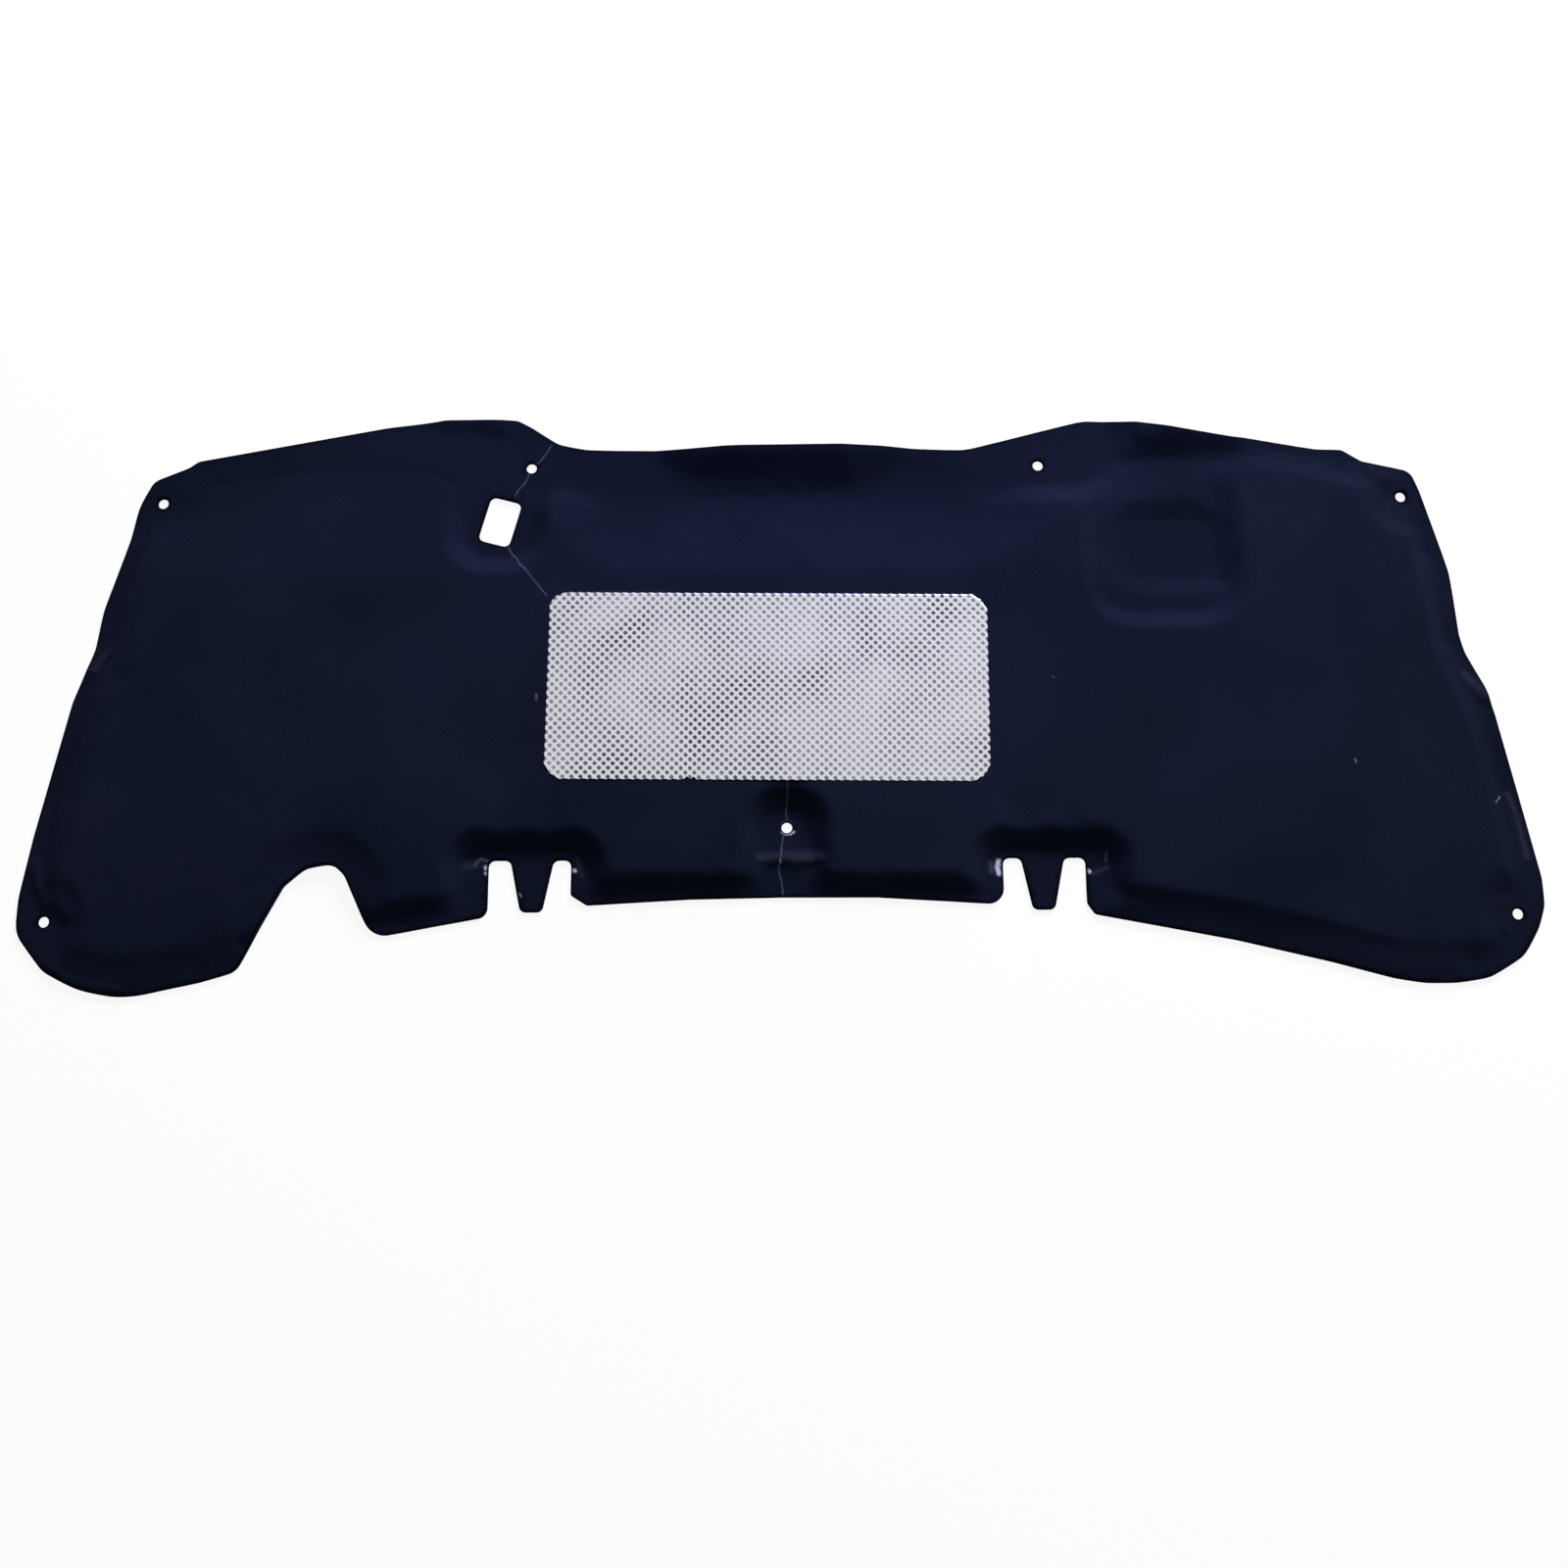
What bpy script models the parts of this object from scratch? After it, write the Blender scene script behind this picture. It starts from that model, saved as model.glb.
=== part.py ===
"""Hood insulation pad: a moulded fibre mat with a stamped foil heat shield bonded to its face.

The mat lies on its back with its face up. X runs along the pad, +Y is the hood's front edge,
-Y the edge under the windscreen, and Z is up. The origin is the middle of the footprint, on
the plane that the pressed rim rests on. All sizes are in metres.
"""

import math

import bmesh
import bpy
import numpy as np
from mathutils import Matrix, Vector
from mathutils.geometry import delaunay_2d_cdt

# Overall size of the mat, and the line its middle features are set out from
PAD_LENGTH = 1.400
PAD_DEPTH = 0.559
CENTRE_LINE = 0.006

# Section of the mat: a thin pressed rim round a thick body that stands up from it
RIM_THICKNESS = 0.0035
BODY_THICKNESS = 0.0110
PLATEAU_RISE = 0.0145
WALL_RUN = 0.020
WING_FALL = 0.004
BROW_FALL = 0.008

# Holes for the push-in clips, as insets from the ends and from the front or rear edge
CLIP_HOLE_DIAMETER = 0.0100
CLIP_LAND_RADIUS = 0.014
CLIP_LAND_RUN = 0.030
FRONT_LEFT_CLIP_END_INSET = 0.1046
FRONT_RIGHT_CLIP_END_INSET = 0.0983
FRONT_CLIP_EDGE_INSET = 0.0840
REAR_CLIP_END_INSET = 0.0252
REAR_CLIP_EDGE_INSET = 0.0685
BROW_CLIP_X = 0.246
BROW_CLIP_EDGE_INSET = 0.0495
TAIL_CLIP_EDGE_INSET = 0.1525

# Two W-shaped notches in the rear edge, each a pair of slots with a tongue between them
HOSE_NOTCH_X = 0.237
HOSE_NOTCH_WIDTH = 0.076
HOSE_NOTCH_TOP_INSET = 0.1230
TONGUE_ROOT_WIDTH = 0.040
TONGUE_TIP_WIDTH = 0.020
TONGUE_TIP_INSET = 0.0750
SLOT_CORNER_RADIUS = 0.006
NOTCH_OUTER_MARGIN = 0.022
NOTCH_INNER_MARGIN = 0.014
NOTCH_TOP_MARGIN = 0.007
NOTCH_CORNER_RADIUS = 0.014
NOTCH_WALL_RUN = 0.021

# Soft wall that runs down to a ledge at the cut edge of the half-round notch
HALF_ROUND_LEDGE_RISE = 0.006
HALF_ROUND_RUN = 0.030

# Window through the mat beside the left front clip, leaning with the frame behind it
WINDOW_WIDTH = 0.031
WINDOW_HEIGHT = 0.046
WINDOW_X = -0.269
WINDOW_EDGE_INSET = 0.1045
WINDOW_LEAN = math.radians(15.0)
WINDOW_CORNER_RADIUS = 0.006
WINDOW_MARGIN = 0.014
WINDOW_LEFT_MARGIN = 0.015
WINDOW_SURROUND_CHAMFER = 0.014
WINDOW_SURROUND_DROP = 0.007
WINDOW_SURROUND_RADIUS = 0.018

# Stepped pocket in the right half, open towards the front edge
POCKET_X = 0.3665
POCKET_WIDTH = 0.123
POCKET_FLOOR_RISE = 0.0055
POCKET_REAR_INSET = 0.2015
POCKET_CORNER_RADIUS = 0.030
WELL_SHIFT = 0.006
WELL_WIDTH = 0.081
WELL_LENGTH = 0.060
WELL_SETBACK = 0.035
WELL_FLOOR_RISE = 0.0005
WELL_CORNER_RADIUS = 0.014
MOUTH_WIDTH = 0.080
MOUTH_INSET = 0.0435
MOUTH_CORNER_RADIUS = 0.010
POCKET_WALL_RUN = 0.016
WELL_WALL_RUN = 0.017
MOUTH_RUN = 0.040

# Arch pressed flat round the middle rear clip, and the bead that stiffens the rim behind it
ARCH_WIDTH = 0.044
ARCH_CROWN_REACH = 0.020
BEAD_LENGTH = 0.056
BEAD_WIDTH = 0.0155
BEAD_END_RADIUS = 0.0055
BEAD_RISE = 0.0035
BEAD_RUN = 0.0074
BEAD_SETBACK = 0.029

# Aprons, where the body falls gently to the rim: in front of the foil, left of the window and
# behind the foil
FRONT_APRON_LEFT = -0.150
FRONT_APRON_RIGHT = 0.190
FRONT_APRON_INSET = 0.0745
FRONT_APRON_RUN = 0.086
BROW_APRON_LEFT_INSET = 0.130
BROW_APRON_RIGHT_INSET = 0.420
BROW_APRON_INSET = 0.0530
BROW_APRON_RUN = 0.110
REAR_APRON_LEFT = -0.150
REAR_APRON_RIGHT = 0.160
REAR_APRON_INSET = 0.0800
REAR_APRON_RUN = 0.030
APRON_CORNER_RADIUS = 0.020

# Lips of the front rim, curled up towards the face
CENTRE_LIP_RISE = 0.018
CENTRE_LIP_RUN = 0.064
RIGHT_LIP_RISE = 0.014
RIGHT_LIP_RUN = 0.046
LEFT_LIP_RISE = 0.005
LEFT_LIP_RUN = 0.015

# Foil heat shield, bonded flat on the body and stamped all over with diamonds
FOIL_LENGTH = 0.413
FOIL_WIDTH = 0.181
FOIL_THICKNESS = 0.00025
DIAMOND_PITCH = 0.0084
DIAMOND_RISE = 0.0003
FOIL_CORNER_RADIUS = 0.015
FOIL_X = -0.011
FOIL_Y = 0.0055
FOIL_TURN = math.radians(-0.63)
FOIL_GAP = 0.0003
SEAT_MARGIN = 0.004
LEVEL_MARGIN = 0.008

# How finely the mat is meshed
ARC_STEP = math.radians(18.0)
EDGE_STEP = 0.045
RING_STEP = 0.045
RING_SLACK = 0.1
FIELD_STEP = 0.060
FIELD_CLEARANCE = 0.030
CLOSEST_POINTS = 0.0075
LARGEST_SAG = 0.0014
REFINEMENTS = 6
HOLE_SIDES = 12
CREASE_ANGLE = math.radians(50.0)

# How far a pressed area that meets an edge of the mat is drawn past that edge
BEYOND = 0.060

# Points nearer to each other than this are one point
MERGE_DISTANCE = 0.00001


def right(inset):
    return PAD_LENGTH / 2 - inset


def left(inset):
    return inset - PAD_LENGTH / 2


def front(inset):
    return PAD_DEPTH / 2 - inset


def rear(inset):
    return inset - PAD_DEPTH / 2


def clear_scene():
    for thing in list(bpy.data.objects):
        bpy.data.objects.remove(thing, do_unlink=True)


def principled(name, colour, roughness, metallic):
    """A material whose Principled BSDF carries the part's colour and finish."""
    material = bpy.data.materials.new(name)
    material.use_nodes = True
    shader = material.node_tree.nodes["Principled BSDF"]
    shader.inputs["Base Color"].default_value = (*colour, 1.0)
    shader.inputs["Roughness"].default_value = roughness
    shader.inputs["Metallic"].default_value = metallic
    return material


def rounded(corners):
    """A closed outline from (x, y, radius) corners, each turned into an arc of that radius."""
    points = []
    for index, (x, y, radius) in enumerate(corners):
        corner = Vector((x, y))
        before = Vector(corners[index - 1][:2]) - corner
        after = Vector(corners[(index + 1) % len(corners)][:2]) - corner
        turn = math.pi - before.angle(after)
        longest = 0.49 * min(before.length, after.length)
        reach = min(radius * math.tan(turn / 2), longest)
        start = corner + before.normalized() * reach
        end = corner + after.normalized() * reach
        steps = max(1, math.ceil(turn / ARC_STEP))
        points += [arc_point(start, corner, end, turn, step / steps) for step in range(steps + 1)]
    return np.array([tuple(point) for point in points])


def arc_point(start, corner, end, turn, share):
    """The point a share of the way along the arc that leaves start and reaches end tangent to the corner."""
    chord = (end - start).length
    if chord < MERGE_DISTANCE:
        return corner.copy()
    radius = chord / (2 * math.sin(turn / 2))
    bisector = ((start + end) / 2 - corner).normalized()
    centre = corner + bisector * (radius / math.cos(turn / 2))
    across = (end - start).normalized()
    angle = turn * (share - 0.5)
    return centre - bisector * (radius * math.cos(angle)) + across * (radius * math.sin(angle))


def circle(x, y, radius, sides):
    angles = np.arange(sides) * (2 * math.pi / sides)
    return np.column_stack((x + radius * np.cos(angles), y + radius * np.sin(angles)))


def turned_box(x, y, length, width, radius, angle):
    """A rounded rectangle about (x, y), turned by angle."""
    half_length, half_width = length / 2, width / 2
    signs = ((-1, -1), (1, -1), (1, 1), (-1, 1))
    turn = Matrix.Rotation(angle, 2)
    places = [turn @ Vector((sx * half_length, sy * half_width)) for sx, sy in signs]
    return rounded([(x + place.x, y + place.y, radius) for place in places])


def clip_holes():
    """The seven clip holes, by name, as (x, y)."""
    front_y = front(FRONT_CLIP_EDGE_INSET)
    rear_y = rear(REAR_CLIP_EDGE_INSET)
    brow_y = front(BROW_CLIP_EDGE_INSET)
    return {
        "front_left": (left(FRONT_LEFT_CLIP_END_INSET), front_y),
        "front_right": (right(FRONT_RIGHT_CLIP_END_INSET), front_y),
        "rear_left": (left(REAR_CLIP_END_INSET), rear_y),
        "rear_right": (right(REAR_CLIP_END_INSET), rear_y),
        "brow_left": (CENTRE_LINE - BROW_CLIP_X, brow_y),
        "brow_right": (CENTRE_LINE + BROW_CLIP_X, brow_y),
        "tail": (CENTRE_LINE, rear(TAIL_CLIP_EDGE_INSET)),
    }


def front_edge():
    """Corners of the scalloped front edge, from the right end to the left."""
    return [
        (right(0.087), front(0.0575), 0.014),
        (right(0.134), front(0.0475), 0.010),
        (right(0.153), front(0.0360), 0.010),
        (right(0.178), front(0.0350), 0.030),
        (right(0.315), front(0.0140), 0.100),
        (right(0.358), front(0.0065), 0.060),
        (right(0.402), front(0.0030), 0.060),
        (right(0.495), front(0.0270), 0.100),
        (0.180, front(0.0335), 0.040),
        (0.097, front(0.0325), 0.030),
        (-0.087, front(0.0335), 0.030),
        (-0.157, front(0.0315), 0.040),
        (-0.187, front(0.0305), 0.040),
        (left(0.486), front(0.0250), 0.030),
        (left(0.459), front(0.0070), 0.020),
        (left(0.446), front(0.0), 0.012),
        (left(0.371), front(0.0), 0.060),
        (left(0.318), front(0.0065), 0.100),
        (left(0.136), front(0.0405), 0.008),
        (left(0.127), front(0.0470), 0.008),
        (left(0.094), front(0.0610), 0.016),
    ]


def left_flank():
    """Corners of the left end, from front to rear, with its bend halfway."""
    return [
        (left(0.082), front(0.087), 0.040),
        (left(0.076), front(0.121), 0.080),
        (left(0.056), 0.087, 0.060),
        (left(0.051), 0.048, 0.030),
        (left(0.034), -0.003, 0.040),
        (left(0.009), -0.131, 0.100),
        (left(0.0), rear(0.090), 0.050),
    ]


def rear_left_lobe():
    """Corners of the lobe at the left rear and of the half-round notch beside it."""
    return [
        (left(0.0), rear(0.058), 0.030),
        (left(0.028), rear(0.023), 0.035),
        (left(0.062), rear(0.006), 0.050),
        (left(0.092), rear(0.0), 0.040),
        (left(0.112), rear(0.0), 0.060),
        (left(0.172), rear(0.0125), 0.100),
        (left(0.204), rear(0.0220), 0.018),
        (left(0.244), rear(0.0995), 0.016),
        (left(0.263), rear(0.1160), 0.020),
        (left(0.288), rear(0.1205), 0.016),
        (left(0.300), rear(0.1090), 0.016),
        (left(0.326), rear(0.0520), 0.020),
    ]


def hose_notch(side, tongue_shift):
    """Corners of one W-shaped notch, from left to right, between its two mouths."""
    x = CENTRE_LINE + side * HOSE_NOTCH_X
    tongue_x = x + tongue_shift
    top = rear(HOSE_NOTCH_TOP_INSET)
    tip = rear(TONGUE_TIP_INSET)
    radius = SLOT_CORNER_RADIUS
    return [
        (x - HOSE_NOTCH_WIDTH / 2, top, radius),
        (tongue_x - TONGUE_ROOT_WIDTH / 2, top, radius),
        (tongue_x - TONGUE_TIP_WIDTH / 2, tip, radius),
        (tongue_x + TONGUE_TIP_WIDTH / 2, tip, radius),
        (tongue_x + TONGUE_ROOT_WIDTH / 2, top, radius),
        (x + HOSE_NOTCH_WIDTH / 2, top, radius),
    ]


def rear_middle():
    """Corners of the rear edge between the half-round notch and the right-hand diagonal."""
    left_slot = CENTRE_LINE - HOSE_NOTCH_X - HOSE_NOTCH_WIDTH / 2
    left_inner = left_slot + HOSE_NOTCH_WIDTH
    right_slot = CENTRE_LINE + HOSE_NOTCH_X + HOSE_NOTCH_WIDTH / 2
    right_inner = right_slot - HOSE_NOTCH_WIDTH
    return [
        (left_slot, rear(0.0710), 0.010),
        *hose_notch(-1, 0.002),
        (left_inner, rear(0.0905), 0.004),
        (left_inner + 0.015, rear(0.0810), 0.004),
        (-0.083, rear(0.0860), 0.050),
        (0.003, rear(0.0875), 0.050),
        (0.089, rear(0.0870), 0.050),
        (right_inner, rear(0.0800), 0.014),
        *hose_notch(1, -0.0015),
        (right_slot, rear(0.0805), 0.008),
        (right_slot + 0.007, rear(0.0705), 0.005),
    ]


def rear_right():
    """Corners of the long diagonal rear edge and of the right end, from the notch to the front."""
    return [
        (right(0.284), rear(0.0460), 0.100),
        (right(0.198), rear(0.0255), 0.100),
        (right(0.143), rear(0.0105), 0.060),
        (right(0.115), rear(0.0060), 0.050),
        (right(0.086), rear(0.0060), 0.050),
        (right(0.056), rear(0.0105), 0.040),
        (right(0.023), rear(0.0300), 0.035),
        (right(0.007), rear(0.0560), 0.035),
        (right(0.0), rear(0.0760), 0.030),
        (right(0.0), rear(0.1010), 0.050),
        (right(0.028), -0.022, 0.060),
        (right(0.035), 0.005, 0.030),
        (right(0.0505), 0.038, 0.025),
        (right(0.0545), 0.055, 0.030),
        (right(0.0585), 0.118, 0.080),
        (right(0.0795), 0.201, 0.040),
    ]


def pad_outline():
    return rounded(front_edge() + left_flank() + rear_left_lobe() + rear_middle() + rear_right())


def plateau_foot():
    """Where the body's wall meets the rim, all round the mat."""
    return rounded([
        (right(0.100), front(0.0695), 0.020),
        (right(0.140), front(0.0575), 0.030),
        (right(0.180), front(0.0455), 0.040),
        (right(0.254), front(0.0305), 0.020),
        (right(0.266), front(0.0475), 0.012),
        (0.318, front(0.0475), 0.020),
        (0.296, front(0.0715), 0.020),
        (-0.222, front(0.0715), 0.040),
        (left(0.380), front(0.0575), 0.060),
        (left(0.160), front(0.0535), 0.040),
        (left(0.110), front(0.0655), 0.030),
        (left(0.096), front(0.0895), 0.030),
        (left(0.089), front(0.1195), 0.080),
        (left(0.069), 0.088, 0.050),
        (left(0.063), 0.046, 0.030),
        (left(0.047), -0.001, 0.040),
        (left(0.023), -0.130, 0.100),
        (left(0.015), rear(0.0895), 0.040),
        (left(0.022), rear(0.0545), 0.035),
        (left(0.045), rear(0.0275), 0.035),
        (left(0.090), rear(0.0145), 0.050),
        (left(0.112), rear(0.0145), 0.050),
        (left(0.200), rear(0.0365), 0.030),
        (left(0.330), rear(0.0665), 0.030),
        (left(0.430), rear(0.0820), 0.030),
        (-0.165, rear(0.0870), 0.030),
        (0.0, rear(0.0860), 0.080),
        (0.165, rear(0.0860), 0.030),
        (right(0.395), rear(0.0805), 0.050),
        (right(0.284), rear(0.0615), 0.100),
        (right(0.198), rear(0.0405), 0.100),
        (right(0.140), rear(0.0245), 0.060),
        (right(0.088), rear(0.0205), 0.040),
        (right(0.050), rear(0.0295), 0.035),
        (right(0.024), rear(0.0545), 0.035),
        (right(0.014), rear(0.0895), 0.040),
        (right(0.041), -0.025, 0.060),
        (right(0.049), 0.002, 0.040),
        (right(0.066), 0.044, 0.030),
        (right(0.073), 0.118, 0.060),
        (right(0.093), 0.200, 0.030),
    ])


def front_bay(low, high, inset, radius):
    """An area open to the front edge, from low to high, that reaches in as far as the inset."""
    return rounded([
        (low, front(-BEYOND), 0.0),
        (low, front(inset), radius),
        (high, front(inset), radius),
        (high, front(-BEYOND), 0.0),
    ])


def rear_bay(low, high, inset, radius):
    """An area open to the rear edge, from low to high, that reaches in as far as the inset."""
    return rounded([
        (low, rear(-BEYOND), 0.0),
        (high, rear(-BEYOND), 0.0),
        (high, rear(inset), radius),
        (low, rear(inset), radius),
    ])


def half_round_surround():
    """Foot of the soft wall beside the half-round notch, a little outside its cut edge."""
    return rounded([
        (left(0.198), rear(-BEYOND), 0.0),
        (left(0.328), rear(-BEYOND), 0.0),
        (left(0.328), rear(0.0560), 0.020),
        (left(0.306), rear(0.1110), 0.020),
        (left(0.290), rear(0.1250), 0.018),
        (left(0.260), rear(0.1200), 0.020),
        (left(0.239), rear(0.1010), 0.020),
        (left(0.198), rear(0.0240), 0.020),
    ])


def hose_notch_surround(side):
    """Rim pressed round one W-shaped notch, wider on the side away from the middle."""
    x = CENTRE_LINE + side * HOSE_NOTCH_X
    half_width = HOSE_NOTCH_WIDTH / 2
    outer = x + side * (half_width + NOTCH_OUTER_MARGIN)
    inner = x - side * (half_width + NOTCH_INNER_MARGIN)
    low, high = sorted((outer, inner))
    return rear_bay(low, high, HOSE_NOTCH_TOP_INSET + NOTCH_TOP_MARGIN, NOTCH_CORNER_RADIUS)


def tail_arch():
    """The arch pressed flat round the middle rear clip, open to the rear edge."""
    half_width = ARCH_WIDTH / 2
    crown = TAIL_CLIP_EDGE_INSET + ARCH_CROWN_REACH
    return rear_bay(CENTRE_LINE - half_width, CENTRE_LINE + half_width, crown, half_width)


def window_hole():
    return turned_box(
        WINDOW_X, front(WINDOW_EDGE_INSET), WINDOW_WIDTH, WINDOW_HEIGHT, WINDOW_CORNER_RADIUS, -WINDOW_LEAN
    )


def window_surround():
    """Rim pressed round the window, running out into the front rim."""
    bottom = front(WINDOW_EDGE_INSET) - (WINDOW_HEIGHT + WINDOW_MARGIN) / 2
    chamfer, drop, radius = WINDOW_SURROUND_CHAMFER, WINDOW_SURROUND_DROP, WINDOW_SURROUND_RADIUS
    low = WINDOW_X - WINDOW_WIDTH / 2 - WINDOW_LEFT_MARGIN
    high = WINDOW_X + WINDOW_WIDTH / 2 + WINDOW_MARGIN
    return rounded([
        (low, front(-BEYOND), 0.0),
        (low, bottom + drop, radius),
        (low + chamfer, bottom - drop, radius),
        (high - chamfer, bottom - drop, radius),
        (high, bottom + drop, radius),
        (high + WINDOW_MARGIN, front(-BEYOND), 0.0),
    ])


def pocket():
    """The pocket's upper step, open towards the front edge."""
    half_width = POCKET_WIDTH / 2
    return front_bay(
        POCKET_X - half_width, POCKET_X + half_width, POCKET_REAR_INSET, POCKET_CORNER_RADIUS
    )


def pocket_mouth():
    """The rim that the pocket's sill falls to."""
    half_width = MOUTH_WIDTH / 2
    return front_bay(POCKET_X - half_width, POCKET_X + half_width, MOUTH_INSET, MOUTH_CORNER_RADIUS)


def well():
    """The deep floor inside the pocket."""
    y = front(POCKET_REAR_INSET) + WELL_SETBACK + WELL_LENGTH / 2
    return turned_box(POCKET_X + WELL_SHIFT, y, WELL_WIDTH, WELL_LENGTH, WELL_CORNER_RADIUS, 0.0)


def centre_lip():
    return rounded([
        (0.170, front(0.0235), 0.010),
        (0.170, front(-BEYOND), 0.0),
        (-0.150, front(-BEYOND), 0.0),
        (-0.150, front(0.0235), 0.010),
        (-0.082, front(0.0820), 0.060),
        (0.085, front(0.0850), 0.060),
    ])


def right_lip():
    return rounded([
        (right(0.102), front(-BEYOND), 0.0),
        (right(0.385), front(-BEYOND), 0.0),
        (right(0.378), front(0.0500), 0.015),
        (right(0.270), front(0.0460), 0.015),
        (right(0.180), front(0.0455), 0.040),
        (right(0.102), front(0.0605), 0.010),
    ])


def left_lip():
    return rounded([
        (left(0.462), front(-BEYOND), 0.0),
        (left(0.352), front(-BEYOND), 0.0),
        (left(0.365), front(0.0135), 0.010),
        (left(0.445), front(0.0175), 0.010),
    ])


def tail_bead():
    y = rear(TAIL_CLIP_EDGE_INSET) - BEAD_SETBACK
    return turned_box(CENTRE_LINE, y, BEAD_LENGTH, BEAD_WIDTH, BEAD_END_RADIUS, 0.0)


def aprons():
    """The strips of rim that the body falls gently to, as (outline, floor, run)."""
    radius = APRON_CORNER_RADIUS
    brow_ends = left(BROW_APRON_LEFT_INSET), left(BROW_APRON_RIGHT_INSET)
    return [
        (front_bay(FRONT_APRON_LEFT, FRONT_APRON_RIGHT, FRONT_APRON_INSET, radius), 0.0, FRONT_APRON_RUN),
        (front_bay(*brow_ends, BROW_APRON_INSET, radius), 0.0, BROW_APRON_RUN),
        (rear_bay(REAR_APRON_LEFT, REAR_APRON_RIGHT, REAR_APRON_INSET, radius), 0.0, REAR_APRON_RUN),
    ]


def foil_seat():
    """The flat part of the body under the foil, a margin larger than the foil all round."""
    return turned_box(
        FOIL_X,
        FOIL_Y,
        FOIL_LENGTH + 2 * SEAT_MARGIN,
        FOIL_WIDTH + 2 * SEAT_MARGIN,
        FOIL_CORNER_RADIUS + SEAT_MARGIN,
        FOIL_TURN,
    )


def hollows():
    """Everything pressed down into the body, as (outline, floor above the rim, run of its wall)."""
    lands = [
        (circle(*place, CLIP_LAND_RADIUS, HOLE_SIDES), 0.0, CLIP_LAND_RUN)
        for name, place in clip_holes().items()
        if name.startswith(("front", "rear"))
    ]
    return lands + aprons() + [
        (half_round_surround(), HALF_ROUND_LEDGE_RISE, HALF_ROUND_RUN),
        (hose_notch_surround(-1), 0.0, NOTCH_WALL_RUN),
        (hose_notch_surround(1), 0.0, NOTCH_WALL_RUN),
        (tail_arch(), 0.0, WALL_RUN),
        (window_surround(), 0.0, WALL_RUN),
        (pocket(), POCKET_FLOOR_RISE, POCKET_WALL_RUN),
        (pocket_mouth(), 0.0, MOUTH_RUN),
        (well(), WELL_FLOOR_RISE, WELL_WALL_RUN),
    ]


def swellings():
    """Everything that stands up from the pressed mat, as (outline, rise, run of its wall)."""
    return [
        (centre_lip(), CENTRE_LIP_RISE, CENTRE_LIP_RUN),
        (right_lip(), RIGHT_LIP_RISE, RIGHT_LIP_RUN),
        (left_lip(), LEFT_LIP_RISE, LEFT_LIP_RUN),
        (tail_bead(), BEAD_RISE, BEAD_RUN),
    ]


def depth_inside(points, outline):
    """How far each point lies inside a closed outline; outside it the value is negative."""
    ends = np.roll(outline, -1, axis=0)
    along = ends - outline
    from_start = points[:, None, :] - outline[None, :, :]
    length = np.maximum((along**2).sum(axis=1), MERGE_DISTANCE**2)
    share = np.clip((from_start * along).sum(axis=2) / length, 0.0, 1.0)
    nearest = np.linalg.norm(from_start - share[..., None] * along, axis=2).min(axis=1)
    above = (outline[:, 1] > points[:, 1:2]) != (ends[:, 1] > points[:, 1:2])
    drop = np.where(along[:, 1] == 0.0, MERGE_DISTANCE, along[:, 1])
    crossing = outline[:, 0] + (points[:, 1:2] - outline[:, 1]) * along[:, 0] / drop
    inside = (above & (points[:, 0:1] < crossing)).sum(axis=1) % 2 == 1
    return np.where(inside, nearest, -nearest)


def wall(distance, run):
    """A moulded wall's rise, from 0 at its foot to 1 at its shoulder, rounded at both."""
    share = np.clip(distance / run, 0.0, 1.0)
    return share * share * (3.0 - 2.0 * share)


def beyond_seat(value, centre, half, end):
    """The share of the way from the foil's seat to the pad's end, 0 over the seat."""
    return np.clip((np.abs(value - centre) - half) / (end - half), 0.0, 1.0)


def section(points):
    """The mat's underside height and thickness at each point."""
    wings = beyond_seat(points[:, 0], FOIL_X, FOIL_LENGTH / 2 + LEVEL_MARGIN, PAD_LENGTH / 2)
    brows = beyond_seat(points[:, 1], FOIL_Y, FOIL_WIDTH / 2 + LEVEL_MARGIN, PAD_DEPTH / 2)
    body = PLATEAU_RISE - WING_FALL * wings**2 - BROW_FALL * brows**2
    rise = body * wall(depth_inside(points, plateau_foot()), WALL_RUN)
    for outline, floor, run in hollows():
        pressed = floor + (rise - floor) * wall(-depth_inside(points, outline), run)
        rise = np.minimum(rise, pressed)
    rise = np.maximum(rise, 0.0)
    thickness = RIM_THICKNESS + (BODY_THICKNESS - RIM_THICKNESS) * rise / PLATEAU_RISE
    for outline, height, run in swellings():
        rise = rise + height * wall(depth_inside(points, outline), run)
    return RIM_THICKNESS + rise - thickness, thickness


def split_long_edges(outline, longest):
    """The same outline with points added where its sides are longer than that."""
    points = []
    for start, end in zip(outline, np.roll(outline, -1, axis=0)):
        count = max(1, math.ceil(np.linalg.norm(end - start) / longest))
        points += [start + (end - start) * step / count for step in range(count)]
    return np.array(points)


def beside(outline, offset):
    """The outline's points moved a given distance inside it, or outside it if negative.

    Round a tight bend some of them land nearer to the outline than that, and are left out.
    """
    outline = split_long_edges(outline, RING_STEP)
    ends = np.roll(outline, -1, axis=0)
    along = ends - np.roll(outline, 1, axis=0)
    along /= np.maximum(np.linalg.norm(along, axis=1), MERGE_DISTANCE)[:, None]
    turning = np.sign(np.sum(outline[:, 0] * ends[:, 1] - outline[:, 1] * ends[:, 0]))
    inward = turning * np.column_stack((-along[:, 1], along[:, 0]))
    points = outline + inward * offset
    slack = RING_SLACK * abs(offset) + MERGE_DISTANCE
    return points[np.abs(depth_inside(points, outline) - offset) < slack]


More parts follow.
